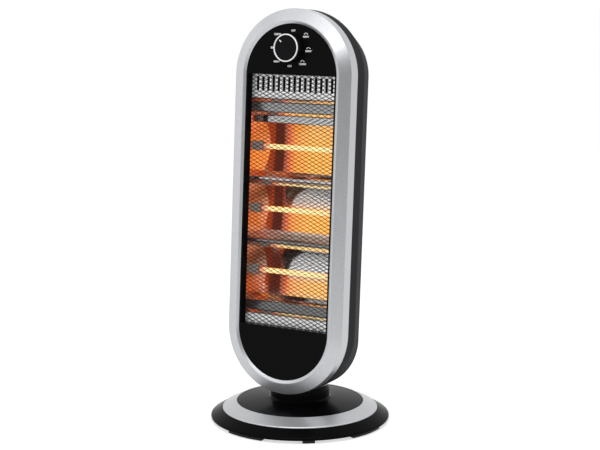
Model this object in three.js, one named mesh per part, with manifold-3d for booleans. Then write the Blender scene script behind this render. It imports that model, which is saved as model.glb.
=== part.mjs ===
import * as THREE from 'three';
import { mergeGeometries, mergeVertices } from 'three/addons/utils/BufferGeometryUtils.js';
import Module from 'manifold-3d';

// A quartz tube heater: a leaning oval head with three glowing tubes, on a round base in which it swings.
// Millimetres, +Z up, the front faces -Y, and the origin is on the floor under the swing axis.

const wasm = await Module();
wasm.setup();

// Clearances
const fitGap = 0.3;
const runningGap = 0.4;
const cutOverrun = 2;

// Facets
const halfTurnSteps = 18;
const roundSteps = 36;
const smallRoundSteps = 8;
const tubeSteps = 10;

// Head outline and lean
const headHalfWidth = 101.75;
const headHalfHeight = 295;
const headFootHeight = 48.5;
const headCentreHeight = headHalfHeight + headFootHeight;
const headLean = THREE.MathUtils.degToRad(3.85);

// Bezel: depths count forward from the swing axis's plane, insets inward from the head's outline
const bezelBack = 16.5;
const bezelEdge = 35;
const bezelCrest = 43.4;
const bezelCrestInset = 18.4;
const bezelLip = 41.4;
const bezelLipInset = 22.4;
const bezelWall = 2.2;
const crestRound = 2.4;

// Rear shell
const shellWall = 2.6;
const shellShoulder = -5;
const shellBack = -60;
const shellBackSideInset = 21.95;
const shellBackHalfWidth = headHalfWidth - shellBackSideInset;
const shellBackTopInset = 21;
const shellBackBottomInset = 1;
const shellCrown = 4.5;
const shellCrownInset = 10;
const shellBossRadius = 5;
const shellBossSideInset = 51.75;
const shellBossEndInset = 64;
const shellBossX = headHalfWidth - shellBossSideInset;
const shellBossY = headHalfHeight - shellBossEndInset;
const screwRadius = 1.7;
const screwHeadRadius = 3.4;
const screwPocketDepth = 6;
const ventCount = 8;
const ventPitch = 11;
const ventHeight = 4.2;
const ventWidth = 88;
const ventBandTopInset = 145;
const ventBandBottomInset = 118;
const ventBandHeight = (ventCount - 1) * ventPitch;
const ventBandY = [headHalfHeight - ventBandTopInset, ventBandHeight + ventBandBottomInset - headHalfHeight];

// Front panel
const panelFace = 40.9;
const panelWall = 2.6;
const panelFlangeInset = 5.8;
const panelFlangeFront = 32.6;
const panelFlangeBack = 30.3;
const windowTopInset = 100;
const windowBottomInset = 104;
const windowSideInset = 25.55;
const windowTaper = 1.3;
const windowTop = headHalfHeight - windowTopInset;
const windowBottom = windowBottomInset - headHalfHeight;
const windowFrontHalfWidth = headHalfWidth - windowSideInset;
const windowBackHalfWidth = windowFrontHalfWidth - windowTaper;

// Guard mesh
const meshThickness = 1.2;
const meshBorder = 2.6;
const meshColumns = 5;
const meshRows = 24;
const strandWidth = 1.5;

// Reflector: three troughs side by side up the head, each a bowl with bevelled sides
const sheetThickness = 0.8;
const sharpestBendShare = 0.5;
const ridgeFace = 20;
const troughDepth = 51;
const bevelHeight = 9;
const bevelDepth = 16.5;
const bowlWallLean = 0.5;
const bowlFocus = 33;
const bowlSteps = 6;
const plateEndLap = 4.5;
const plateTopReach = 41.5;
const plateBottomReach = 21;
const plateStepHeight = 4.6;
const plateStepDepth = 6.4;
const topRidgeWidth = 23.6;
const bottomRidgeWidth = 13.1;
const innerRidgeWidth = 3.9;
const reflectorFlange = 5;
const reflectorFrontGap = 0.4;
const endFrontSideInset = 13.75;
const endLean = 13;
const endFrontHalfWidth = headHalfWidth - endFrontSideInset;
const endBackHalfWidth = endFrontHalfWidth - endLean;
const slotCount = 15;
const slotSideMargin = 11.2;
const slotPitch = 2 * (windowFrontHalfWidth - slotSideMargin) / (slotCount - 1);
const slotWidth = 3.8;
const slotTopInset = 3;
const slotLength = 23;
const slotEndSteps = 3;

// Quartz tubes
const tubeRadius = 4.25;
const tubeWall = 1;
const tubeDepth = 2;
const filamentRadius = 1.6;
const capRadius = 7.6;
const capCollarRadius = 6.3;
const capCollarLength = 3;
const capProud = 6;
const capLength = 28;
const capSocketWall = 10;
const capLeadRadius = 1.2;
const leadProud = 2;
const capOuterX = endFrontHalfWidth + capProud;
const capInnerX = capOuterX - capLength;
const capSocketEndX = capOuterX - capSocketWall;
const tubeHalfLength = capSocketEndX - 2 * tubeWall;
const leadEndX = capOuterX + leadProud;

// Heat shield, thermal cut-out and terminal block
const shieldLap = 8;
const shieldSideInset = 9;
const shieldHalfWidth = endBackHalfWidth - shieldSideInset;
const shieldFold = 9;
const cutoutRadius = 8;
const cutoutFlangeRadius = 11;
const cutoutHeight = 9;
const cutoutFlangeHeight = 1.5;
const blockWidth = 46;
const blockHeight = 18;
const blockDepth = 12;
const blockWall = 2;
const blockPoles = 4;
const blockDrop = 40;
const blockY = windowBottom - blockDrop;

// Switch and knob on the upper panel
const dialTopInset = 59.7;
const dialY = headHalfHeight - dialTopInset;
const switchHalfSide = 15;
const switchDepth = 18;
const bushingRadius = 4.6;
const bushingProud = 1.2;
const shaftRadius = 3;
const shaftFlat = 1;
const knobStandOff = 1.1;
const knobBack = panelFace + knobStandOff;
const knobRimFront = 56;
const knobFront = 58;
const knobRadius = 20.6;
const knobRibCount = 36;
const knobRibDepth = 0.7;
const knobRingInner = 18.4;
const knobRingFront = 59.4;
const knobRingSeat = 1.4;
const knobPocketRadius = 6.5;
const knobPocketDepth = 2.2;
const knobShaftEnd = 53;
const pointerLength = 4.2;
const pointerWidth = 1.8;
const pointerDepth = 1;
const pointerReachShare = 0.88;
const pointerTurn = THREE.MathUtils.degToRad(45);

// Base
const footHeight = 5;
const rimRadius = 140;
const rimEdgeHeight = 3;
const rimRound = 1.4;
const ringRimInset = 18.4;
const ringWidth = 22.4;
const ringOuterRadius = rimRadius - ringRimInset;
const ringInnerRadius = ringOuterRadius - ringWidth;
const ringOuterHeight = 19.2;
const ringInnerHeight = 29.2;
const ringThickness = 1.5;
const ringRise = 1;
const ringShoulderRise = 1.5;
const domeShoulderRadius = 60;
const domeShoulderHeight = 33.6;
const domeTopHeight = 35.2;
const collarRadius = 46;
const collarTop = 45;
const collarWall = 3;
const coverWall = 2.5;
const rimWall = 3;
const plateThickness = 1.6;
const padRimInset = 4.5;
const padWidth = 11.5;
const padOuterRadius = rimRadius - padRimInset;
const padInnerRadius = padOuterRadius - padWidth;
const widePadAngle = THREE.MathUtils.degToRad(28);
const narrowPadAngle = THREE.MathUtils.degToRad(8);
const padTurn = THREE.MathUtils.degToRad(-99);
const padSteps = 6;
const plateScrewRingInset = 9.6;
const plateScrewRadius = ringOuterRadius - plateScrewRingInset;
const plateScrewCount = 6;
const plateScrewLength = 9;
const plateBossRadius = 4.4;

// Neck that swings in the base's collar
const neckWall = 3;
const spigotRadius = 30;
const spigotReach = 47.5;
const spigotTop = headFootHeight + spigotReach;
const neckLap = 0.5;

// Swing drive
const gearPitchRadius = 50;
const gearTeeth = 100;
const toothModule = 2 * gearPitchRadius / gearTeeth;
const pinionTeeth = 16;
const pressureAngle = THREE.MathUtils.degToRad(20);
const toothBacklash = 0.34;
const gearFlankSteps = 1;
const pinionFlankSteps = 2;
const addendumShare = 0.86;
const dedendumShare = 1.25;
const gearBottom = 19.6;
const gearThickness = 5;
const gearBore = 33;
const toothedHalfAngle = THREE.MathUtils.degToRad(56);
const motorRadius = 21;
const motorEarRadius = 4;
const motorEarThickness = 1.5;
const motorShaftRadius = 1.75;

// Tip-over switch
const tipDistance = 72;
const plungerRadius = 4;
const plungerHead = 6;
const plungerHeadHeight = 1.5;
const plungerHeadBottom = 11;
const plungerStemRadius = 2.4;
const plungerTop = 21.6;
const plungerFloorGap = 0.3;
const guideRadius = 8;
const guideWall = 1.5;
const guideTop = 20.4;
const springWall = 0.9;
const switchBodyWidth = 12;
const switchBodyDepth = 6;
const switchBodyHeight = 9;
const leverThickness = 0.6;

// Cord entry
const bushRadius = 4.4;
const bushBore = 3.3;
const bushLength = 14;
const bushInnerY = rimRadius - bushLength;
const bushHeight = 9.8;
const bushRound = 0.6;

// Shape helpers

function solidOf(geometry) {
  const bare = geometry.clone();
  bare.deleteAttribute('normal');
  bare.deleteAttribute('uv');
  const merged = mergeVertices(bare);
  return new wasm.Manifold(new wasm.Mesh({
    numProp: 3,
    vertProperties: merged.attributes.position.array,
    triVerts: Uint32Array.from(merged.index.array),
  }));
}

function geometryOf(solid) {
  const mesh = solid.getMesh();
  const geometry = new THREE.BufferGeometry();
  geometry.setAttribute('position', new THREE.BufferAttribute(mesh.vertProperties, 3));
  geometry.setIndex(new THREE.BufferAttribute(mesh.triVerts, 1));
  return geometry;
}

function cut(geometry, ...tools) {
  return geometryOf(tools.reduce((left, tool) => left.subtract(solidOf(tool)), solidOf(geometry)));
}

function join(...geometries) {
  return geometryOf(geometries.map(solidOf).reduce((whole, next) => whole.add(next)));
}

function common(geometry, region) {
  return geometryOf(solidOf(geometry).intersect(solidOf(region)));
}

// Rings of equal count, skinned one to the next; a closed loft joins its last ring to its first
function loft(rings, closed) {
  const count = rings[0].length;
  const index = [];
  const spans = closed ? rings.length : rings.length - 1;
  for (let level = 0; level < spans; level++) {
    const here = level * count;
    const there = ((level + 1) % rings.length) * count;
    for (let i = 0; i < count; i++) {
      const next = (i + 1) % count;
      index.push(here + i, here + next, there + next);
      index.push(here + i, there + next, there + i);
    }
  }
  if (!closed) {
    const last = (rings.length - 1) * count;
    for (let i = 1; i < count - 1; i++) {
      index.push(0, i + 1, i);
      index.push(last, last + i, last + i + 1);
    }
  }
  const geometry = new THREE.BufferGeometry();
  geometry.setAttribute('position', new THREE.Float32BufferAttribute(rings.flat(2), 3));
  geometry.setIndex(index);
  return geometry;
}

// The head's outline at one depth: two half circles joined by straight sides
function stadiumPoints(halfWidth, top, bottom, depth) {
  const points = [];
  for (let i = 0; i <= halfTurnSteps; i++) {
    const angle = Math.PI * i / halfTurnSteps;
    points.push([halfWidth * Math.cos(angle), top - halfWidth + halfWidth * Math.sin(angle), depth]);
  }
  for (let i = 0; i <= halfTurnSteps; i++) {
    const angle = Math.PI + Math.PI * i / halfTurnSteps;
    points.push([halfWidth * Math.cos(angle), bottom + halfWidth + halfWidth * Math.sin(angle), depth]);
  }
  return points;
}

function headRing(inset, depth) {
  return stadiumPoints(headHalfWidth - inset, headHalfHeight - inset, inset - headHalfHeight, depth);
}

function polygon(points) {
  return new THREE.Shape(points.map(([x, y]) => new THREE.Vector2(x, y)));
}

function rectangle(left, right, bottom, top) {
  return polygon([[left, bottom], [right, bottom], [right, top], [left, top]]);
}

function plate(shape, from, to) {
  const geometry = new THREE.ExtrudeGeometry(shape, { depth: to - from, bevelEnabled: false });
  return geometry.translate(0, 0, from);
}

function block(left, right, bottom, top, from, to) {
  return plate(rectangle(left, right, bottom, top), from, to);
}

function disc(radius, from, to, x = 0, y = 0, steps = roundSteps) {
  const geometry = new THREE.CylinderGeometry(radius, radius, to - from, steps);
  return geometry.rotateX(Math.PI / 2).translate(x, y, (from + to) / 2);
}

// A closed [radius, height] section turned about the vertical axis
function turned(section, steps = roundSteps) {
  const closed = [...section, section[0]].map(([radius, height]) => new THREE.Vector2(radius, height));
  return new THREE.LatheGeometry(closed, steps).rotateX(Math.PI / 2);
}

const group = new THREE.Group();
const headFrame = new THREE.Group();
headFrame.position.set(0, 0, headCentreHeight);
headFrame.rotation.x = Math.PI / 2 - headLean;
headFrame.updateMatrixWorld(true);
group.add(headFrame);

function finish(color, roughness, metalness = 0) {
  return new THREE.MeshStandardMaterial({ color, roughness, metalness });
}

const finishes = {
  silver: finish(0xb9bcc0, 0.34, 0.7),
  glossBlack: finish(0x0b0b0c, 0.16),
  darkShell: finish(0x37373a, 0.62),
  blackPlastic: finish(0x141415, 0.4),
  meshBlack: finish(0x0d0d0d, 0.45, 0.4),
  polishedSheet: finish(0xd6d6d4, 0.16, 1),
  steel: finish(0x9a9c9f, 0.4, 1),
  quartz: finish(0xffe9a8, 0.25),
  ceramic: finish(0x8f9088, 0.75),
  filament: finish(0xff7a22, 0.5, 0.6),
  nylon: finish(0xe6e4dc, 0.5),
  rubber: finish(0x1a1a1a, 0.9),
  white: finish(0xf2f2f0, 0.4),
};

function addPiece(parent, name, geometry, material) {
  const flat = geometry.index ? geometry.toNonIndexed() : geometry;
  flat.computeVertexNormals();
  const mesh = new THREE.Mesh(flat, material);
  mesh.name = name;
  parent.add(mesh);
  return mesh;
}

// Head shell, bezel and front panel

function bezel() {
  const slope = (bezelCrest - bezelEdge) / bezelCrestInset;
  const lipSlope = (bezelCrest - bezelLip) / (bezelLipInset - bezelCrestInset);
  const innerCrest = bezelCrest - bezelWall;
  const section = [
    [0, bezelBack],
    [0, bezelEdge],
    [bezelCrestInset - crestRound, bezelCrest - slope * crestRound],
    [bezelCrestInset, bezelCrest - slope * crestRound / 4],
    [bezelCrestInset + crestRound / 2, bezelCrest - lipSlope * crestRound / 2],
    [bezelLipInset, bezelLip],
    [bezelLipInset, bezelLip - bezelWall],
    [bezelCrestInset + crestRound / 2, innerCrest - lipSlope * crestRound / 2],
    [bezelCrestInset - crestRound, innerCrest - slope * crestRound],
    [bezelWall, bezelEdge - bezelWall / 2],
    [bezelWall, bezelBack],
  ];
  return loft(section.map(([inset, depth]) => headRing(inset, depth)), true);
}

function shellLevels(wall) {
  const level = (halfWidth, topInset, bottomInset, depth) => stadiumPoints(
    halfWidth - wall, headHalfHeight - topInset - wall, bottomInset + wall - headHalfHeight, depth);
  const front = bezelBack - fitGap + (wall > 0 ? cutOverrun : 0);
  return [
    level(shellBackHalfWidth - shellCrownInset, shellBackTopInset + shellCrownInset,
      shellBackBottomInset + shellCrownInset, shellBack - shellCrown + wall),
    level(shellBackHalfWidth, shellBackTopInset, shellBackBottomInset, shellBack + wall),
    level(headHalfWidth, 0, 0, shellShoulder + wall / 2),
    level(headHalfWidth, 0, 0, front),
  ];
}

const cornerPlaces = [[1, 1], [-1, 1], [-1, -1], [1, -1]].map(([x, y]) => [x * shellBossX, y * shellBossY]);
const bossTop = panelFlangeBack - fitGap;
const shellFloor = shellBack - shellCrown;

function rearShell() {
  const outside = loft(shellLevels(0), false);
  const hollow = loft(shellLevels(shellWall), false);
  const walls = cut(outside, hollow);
  const bosses = cornerPlaces.map(([x, y]) => disc(shellBossRadius, shellFloor, bossTop, x, y, smallRoundSteps));
  const bossRoom = join(outside, block(-headHalfWidth / 2 - shellBossX, headHalfWidth / 2 + shellBossX,
    -headHalfHeight, headHalfHeight, 0, bossTop));
  const trimmed = bosses.map((boss) => common(boss, bossRoom));
  const tools = cornerPlaces.flatMap(([x, y]) => [
    disc(screwRadius + fitGap, shellFloor - cutOverrun, bossTop + cutOverrun, x, y, smallRoundSteps),
    disc(screwHeadRadius + fitGap, shellFloor - cutOverrun, shellBack + screwPocketDepth, x, y, smallRoundSteps),
  ]);
  for (const bandY of ventBandY) {
    for (let i = 0; i < ventCount; i++) {
      const y = bandY - i * ventPitch;
      tools.push(block(-ventWidth / 2, ventWidth / 2, y - ventHeight / 2, y + ventHeight / 2,
        shellFloor - cutOverrun, shellBack + shellWall + cutOverrun));
    }
  }
  const spigotHole = disc(spigotRadius + fitGap, 0, spigotTop);
  spigotHole.applyMatrix4(headFrame.matrixWorld.clone().invert());
  return cut(join(walls, ...trimmed), ...tools, spigotHole);
}

const panelInset = bezelLipInset + fitGap;

function frontPanel() {
  const outside = loft([
    headRing(panelFlangeInset, panelFlangeBack),
    headRing(panelFlangeInset, panelFlangeFront),
    headRing(panelInset + panelWall, panelFlangeFront),
    headRing(panelInset, panelFlangeFront + panelWall),
    headRing(panelInset, panelFace),
  ], false);
  const behind = panelFace - panelWall;
  const windowRing = (halfWidth, grow, depth) => [
    [halfWidth, windowTop + grow, depth], [-halfWidth, windowTop + grow, depth],
    [-halfWidth, windowBottom - grow, depth], [halfWidth, windowBottom - grow, depth],
  ];
  const slant = (windowFrontHalfWidth - windowBackHalfWidth) / (panelFace - panelFlangeBack);
  const window = loft([
    windowRing(windowBackHalfWidth - slant * cutOverrun, 0, panelFlangeBack - cutOverrun),
    windowRing(windowFrontHalfWidth + slant * cutOverrun, 0, panelFace + cutOverrun),
  ], false);
  const hollowInset = panelInset + 2 * panelWall;
  const hollow = (sign, edge) => common(
    loft([headRing(hollowInset, panelFlangeBack - cutOverrun), headRing(hollowInset, behind)], false),
    block(-headHalfWidth, headHalfWidth, Math.min(edge, sign * headHalfHeight),
      Math.max(edge, sign * headHalfHeight), 0, behind));
  const screwHoles = cornerPlaces.map(([x, y]) => disc(screwRadius + fitGap,
    panelFlangeBack - cutOverrun, behind - fitGap, x, y, smallRoundSteps));
  const bosses = cornerPlaces.map(([x, y]) => disc(shellBossRadius, panelFlangeBack, behind + fitGap,
    x, y, smallRoundSteps));
  const hollowed = cut(outside, window, hollow(1, windowTop + panelWall), hollow(-1, windowBottom - panelWall));
  const shaftHole = disc(bushingRadius + fitGap, behind - cutOverrun, panelFace + cutOverrun, 0, dialY,
    2 * smallRoundSteps);
  return cut(join(hollowed, ...bosses), ...screwHoles, shaftHole);
}

// Guard of expanded metal: diamonds in staggered rows, cut to triangles along the border

const meshFront = panelFlangeBack - fitGap;
const meshBack = meshFront - meshThickness;
const meshOpenHalfWidth = windowBackHalfWidth + fitGap;
const meshOpenTop = windowTop + fitGap;
const meshOpenBottom = windowBottom - fitGap;

function guardMesh() {
  const longWay = 2 * meshOpenHalfWidth / meshColumns;
  const shortWay = (meshOpenTop - meshOpenBottom) / meshRows;
  const cellX = longWay / 2;
  const cellY = shortWay / 2;
  const holeShare = 1 - strandWidth / 2 * Math.hypot(cellX, cellY) / (cellX * cellY);
  const holeX = cellX * holeShare;
  const holeY = cellY * holeShare;
  const sheet = block(-meshOpenHalfWidth - meshBorder, meshOpenHalfWidth + meshBorder,
    meshOpenBottom - meshBorder, meshOpenTop + meshBorder, meshBack, meshFront);
  const holes = [];
  const addHole = (points) => holes.push(plate(polygon(points), meshBack - cutOverrun, meshFront + cutOverrun));
  for (let row = 0; row <= 2 * meshRows; row++) {
    const stagger = row % 2;
    const y = meshOpenBottom + row * cellY;
    for (let column = 0; column <= meshColumns - stagger; column++) {
      const x = -meshOpenHalfWidth + (2 * column + stagger) * cellX;
      const onSide = stagger === 0 && (column === 0 || column === meshColumns);
      const onEnd = row === 0 || row === 2 * meshRows;
      if (onSide && onEnd) continue;
      const right = [x + holeX, y];
      const top = [x, y + holeY];
      const left = [x - holeX, y];
      const bottom = [x, y - holeY];
      if (onSide) addHole(column === 0 ? [bottom, right, top] : [bottom, top, left]);
      else if (onEnd) addHole(row === 0 ? [left, right, top] : [left, bottom, right]);
      else addHole([bottom, right, top, left]);
    }
  }
  return cut(sheet, mergeGeometries(holes));
}

// Reflector

const reflectorFront = meshBack - reflectorFrontGap;
const plateFrontTopY = windowTop + plateEndLap;
const plateFrontBottomY = windowBottom - plateEndLap;
const ridgeTop = windowTop - plateTopReach;
const ridgeBottom = windowBottom + plateBottomReach;
const troughHalfHeight = (ridgeTop - ridgeBottom - topRidgeWidth - bottomRidgeWidth - 2 * innerRidgeWidth) / 6;
const troughPitch = 2 * troughHalfHeight + innerRidgeWidth;
const troughTopY = ridgeTop - topRidgeWidth - troughHalfHeight;
const troughCentres = [0, 1, 2].map((step) => troughTopY - step * troughPitch);

// The sheet's front line as [height, depth], from the top flange down to the bottom one
function reflectorLine() {
  const stepFace = ridgeFace + plateStepDepth;
  const line = [[plateFrontTopY + reflectorFlange, reflectorFront], [plateFrontTopY, reflectorFront],
    [ridgeTop + plateStepHeight, stepFace], [ridgeTop, ridgeFace]];
  const bowlHalfHeight = troughHalfHeight - bevelHeight - bowlWallLean;
  const bevelFoot = ridgeFace - bevelDepth;
  for (const centre of troughCentres) {
    line.push([centre + troughHalfHeight, ridgeFace], [centre + bowlHalfHeight + bowlWallLean, bevelFoot]);
    for (let i = 0; i <= bowlSteps; i++) {
      const up = bowlHalfHeight * (1 - 2 * i / bowlSteps);
      line.push([centre + up, ridgeFace - troughDepth + up * up / (4 * bowlFocus)]);
    }
    line.push([centre - bowlHalfHeight - bowlWallLean, bevelFoot], [centre - troughHalfHeight, ridgeFace]);
  }
  line.push([ridgeBottom, ridgeFace], [ridgeBottom - plateStepHeight, stepFace],
    [plateFrontBottomY, reflectorFront], [plateFrontBottomY - reflectorFlange, reflectorFront]);
  return line;
}

// Points moved to the sheet's back along the mean normal of the two spans that meet there
function offsetLine(line, distance) {
  return line.map(([y, depth], i) => {
    const before = line[Math.max(i - 1, 0)];
    const after = line[Math.min(i + 1, line.length - 1)];
    const runIn = [y - before[0], depth - before[1]];
    const runOut = [after[0] - y, after[1] - depth];
    const unit = ([a, b]) => {
      const length = Math.hypot(a, b) || 1;
      return [a / length, b / length];
    };
    const [inY, inDepth] = unit(i === 0 ? runOut : runIn);
    const [outY, outDepth] = unit(i === line.length - 1 ? runIn : runOut);
    const tangent = unit([inY + outY, inDepth + outDepth]);
    const reach = distance / Math.max(tangent[0] * outY + tangent[1] * outDepth, sharpestBendShare);
    return [y + tangent[1] * -reach, depth + tangent[0] * reach];
  });
}

const endSlant = (endFrontHalfWidth - endBackHalfWidth) / troughDepth;
const troughFloor = ridgeFace - troughDepth;

function endHalfWidth(depth) {
  return endFrontHalfWidth - endSlant * (ridgeFace - depth);
}

function reflector() {
  const front = reflectorLine();
  const back = offsetLine(front, sheetThickness);
  const section = polygon([...front, ...back.reverse()]);
  const run = endFrontHalfWidth + cutOverrun;
  const sheet = plate(section, -run, run);
  sheet.applyMatrix4(new THREE.Matrix4().set(0, 0, 1, 0, 1, 0, 0, 0, 0, 1, 0, 0, 0, 0, 0, 1));
  const rear = troughFloor - 2 * sheetThickness;
  const shoulder = ridgeFace - sheetThickness - fitGap;
  const side = (depth) => endHalfWidth(depth) - fitGap;
  const envelope = polygon([[-side(rear), rear], [side(rear), rear], [side(shoulder), shoulder],
    [endFrontHalfWidth, shoulder], [endFrontHalfWidth, reflectorFront + cutOverrun],
    [-endFrontHalfWidth, reflectorFront + cutOverrun], [-endFrontHalfWidth, shoulder],
    [-side(shoulder), shoulder]]);
  const room = plate(envelope, -headHalfHeight, headHalfHeight).rotateX(Math.PI / 2);
  const slots = [];
  for (let i = 0; i < slotCount; i++) {
    const x = (i - (slotCount - 1) / 2) * slotPitch;
    const ends = slotWidth / 2;
    const slotTop = windowTop - slotTopInset;
    const shape = new THREE.Shape();
    shape.absarc(x, slotTop - ends, ends, 0, Math.PI);
    shape.absarc(x, slotTop - slotLength + ends, ends, Math.PI, 2 * Math.PI);
    const slot = new THREE.ExtrudeGeometry(shape, { depth: reflectorFront - ridgeFace + 2 * cutOverrun,
      bevelEnabled: false, curveSegments: slotEndSteps });
    slots.push(slot.translate(0, 0, ridgeFace - cutOverrun));
  }
  return cut(common(sheet, room), ...slots);
}

function reflectorEnd(sign) {
  const rear = troughFloor - sheetThickness - fitGap;
  const front = ridgeFace - sheetThickness - fitGap;
  const side = [[endHalfWidth(rear), rear], [endHalfWidth(front), front]];
  const thick = side.map(([x, depth]) => [x + sheetThickness, depth]);
  const section = polygon([side[0], thick[0], thick[1], side[1]].map(([x, depth]) => [sign * x, depth]));
  const top = ridgeTop - fitGap;
  const bottom = ridgeBottom + fitGap;
  const sheet = plate(section, 0, top - bottom).rotateX(Math.PI / 2);
  sheet.translate(0, top, 0);
  const holes = troughCentres.map((y) => {
    const hole = new THREE.CylinderGeometry(capRadius + fitGap, capRadius + fitGap,
      capOuterX, 2 * smallRoundSteps);
    return hole.rotateZ(Math.PI / 2).translate(sign * capOuterX, y, tubeDepth);
  });
  return cut(sheet, ...holes);
}

// A closed [radius, distance] section turned about the tube's own line, with distance along X
function alongX(section, y, depth, steps) {
  const closed = [...section, section[0]].map(([radius, x]) => new THREE.Vector2(radius, x));
  return new THREE.LatheGeometry(closed, steps).rotateZ(-Math.PI / 2).translate(0, y, depth);
}

function quartzTube(y) {
  const bore = tubeRadius - tubeWall;
  return alongX([[bore, -tubeHalfLength], [tubeRadius, -tubeHalfLength], [tubeRadius, tubeHalfLength],
    [bore, tubeHalfLength]], y, tubeDepth, tubeSteps);
}

function filament(y) {
  const reach = tubeHalfLength - tubeWall;
  const leadRadius = capLeadRadius - fitGap;
  return alongX([[0, -leadEndX], [leadRadius, -leadEndX], [leadRadius, -reach], [filamentRadius, -reach],
    [filamentRadius, reach], [leadRadius, reach], [leadRadius, leadEndX], [0, leadEndX]], y, tubeDepth,
  smallRoundSteps / 2);
}

function endCap(y, sign) {
  const bore = tubeRadius + fitGap;
  const collarEnd = capInnerX + capCollarLength;
  const section = [[bore, capInnerX], [capCollarRadius, capInnerX], [capCollarRadius, collarEnd],
    [capRadius, collarEnd], [capRadius, capOuterX], [capLeadRadius, capOuterX],
    [capLeadRadius, capSocketEndX], [bore, capSocketEndX]];
  const cap = alongX(section, y, tubeDepth, tubeSteps);
  return sign > 0 ? cap : cap.rotateY(Math.PI).translate(0, 0, 2 * tubeDepth);
}

// Heat shield, thermal cut-out and terminal block

const shieldFront = troughFloor - sheetThickness - fitGap;
const shieldBackFace = shieldFront - sheetThickness;

function heatShield() {
  const fold = shieldFront - shieldFold;
  const section = polygon([[-shieldHalfWidth, fold], [-shieldHalfWidth + sheetThickness, fold],
    [-shieldHalfWidth + sheetThickness, shieldBackFace], [shieldHalfWidth - sheetThickness, shieldBackFace],
    [shieldHalfWidth - sheetThickness, fold], [shieldHalfWidth, fold],
    [shieldHalfWidth, shieldFront], [-shieldHalfWidth, shieldFront]]);
  const top = ridgeTop + shieldLap;
  const sheet = plate(section, 0, top - ridgeBottom + shieldLap).rotateX(Math.PI / 2);
  return sheet.translate(0, top, 0);
}

function thermalCutout() {
  const seat = shieldBackFace - fitGap;
  const cutoutY = (troughCentres[0] + troughCentres[1]) / 2;
  const flange = disc(cutoutFlangeRadius, seat - cutoutFlangeHeight, seat, 0, cutoutY, 2 * smallRoundSteps);
  const body = disc(cutoutRadius, seat - cutoutHeight, seat, 0, cutoutY, 2 * smallRoundSteps);
  const blades = [-1, 1].map((sign) => block(sign * cutoutRadius / 2 - blockWall / 4,
    sign * cutoutRadius / 2 + blockWall / 4, cutoutY - cutoutRadius / 3, cutoutY + cutoutRadius / 3,
    seat - 2 * cutoutHeight + cutoutFlangeHeight, seat - cutoutHeight / 2));
  return join(flange, body, ...blades);
}

function terminalBlock() {
  const front = panelFace - panelWall - fitGap;
  const back = front - blockDepth;
  const body = block(-blockWidth / 2, blockWidth / 2, blockY - blockHeight / 2, blockY + blockHeight / 2,
    back, front);
  const pole = (blockWidth - blockWall) / blockPoles;
  const wells = [];
  for (let i = 0; i < blockPoles; i++) {
    const left = -blockWidth / 2 + blockWall + i * pole;
    wells.push(block(left, left + pole - blockWall, blockY - blockHeight / 2 - cutOverrun,
      blockY + blockHeight / 2 + cutOverrun, back - cutOverrun, back + blockDepth / 2));
  }
  return cut(body, ...wells);
}

// Switch, shaft and knob

const switchFront = panelFace - panelWall - fitGap;

function rotarySwitch() {
  const corner = switchHalfSide / 3;
  const outline = polygon([[-switchHalfSide + corner, -switchHalfSide], [switchHalfSide - corner, -switchHalfSide],
    [switchHalfSide, -switchHalfSide + corner], [switchHalfSide, switchHalfSide - corner],
    [switchHalfSide - corner, switchHalfSide], [-switchHalfSide + corner, switchHalfSide],
    [-switchHalfSide, switchHalfSide - corner], [-switchHalfSide, -switchHalfSide + corner]]);
  const body = plate(outline, switchFront - switchDepth, switchFront).translate(0, dialY, 0);
  const bushing = disc(bushingRadius, switchFront - bushingProud, panelFace + bushingProud / 2, 0, dialY,
    2 * smallRoundSteps);
  const bore = disc(shaftRadius + fitGap, switchFront - switchDepth / 2, panelFace + cutOverrun, 0, dialY,
    smallRoundSteps);
  return cut(join(body, bushing), bore);
}

function shaft() {
  const from = switchFront - switchDepth / 2 + fitGap;
  const round = disc(shaftRadius, from, knobShaftEnd - fitGap, 0, dialY, smallRoundSteps);
  const flat = block(-shaftRadius, shaftRadius, dialY + shaftRadius - shaftFlat, dialY + 2 * shaftRadius,
    knobBack + knobPocketDepth, knobShaftEnd + cutOverrun);
  return cut(round, flat);
}

function knob() {
  const outline = [];
  for (let i = 0; i < 2 * knobRibCount; i++) {
    const angle = Math.PI * i / knobRibCount;
    const radius = knobRadius - (i % 2) * knobRibDepth;
    outline.push([radius * Math.cos(angle), dialY + radius * Math.sin(angle)]);
  }
  const grip = plate(polygon(outline), knobBack, knobRimFront);
  const face = disc(knobRingInner - fitGap, knobRimFront - cutOverrun, knobFront, 0, dialY);
  const seat = cut(disc(knobRadius + cutOverrun, knobRimFront - knobRingSeat, knobRimFront + cutOverrun, 0, dialY),
    disc(knobRingInner - fitGap, knobRimFront - 2 * knobRingSeat, knobRimFront + 2 * cutOverrun, 0, dialY));
  const pocket = disc(knobPocketRadius, knobBack - cutOverrun, knobBack + knobPocketDepth, 0, dialY,
    2 * smallRoundSteps);
  const round = disc(shaftRadius + fitGap, knobBack - cutOverrun, knobShaftEnd, 0, dialY, smallRoundSteps);
  const flat = block(-2 * shaftRadius, 2 * shaftRadius, dialY + shaftRadius - shaftFlat + fitGap,
    dialY + 3 * shaftRadius, knobBack + knobPocketDepth + fitGap, knobShaftEnd + cutOverrun);
  return cut(join(grip, face), seat, pocket, cut(round, flat), pointerBlock(fitGap));
}

function pointerBlock(grow) {
  const outer = knobRingInner * pointerReachShare;
  const bar = block(-pointerWidth / 2 - grow, pointerWidth / 2 + grow, outer - pointerLength - grow,
    outer + grow, knobFront - pointerDepth - grow, knobFront + (grow > 0 ? cutOverrun : pointerDepth / 4));
  return bar.rotateZ(pointerTurn).translate(0, dialY, 0);
}

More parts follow.
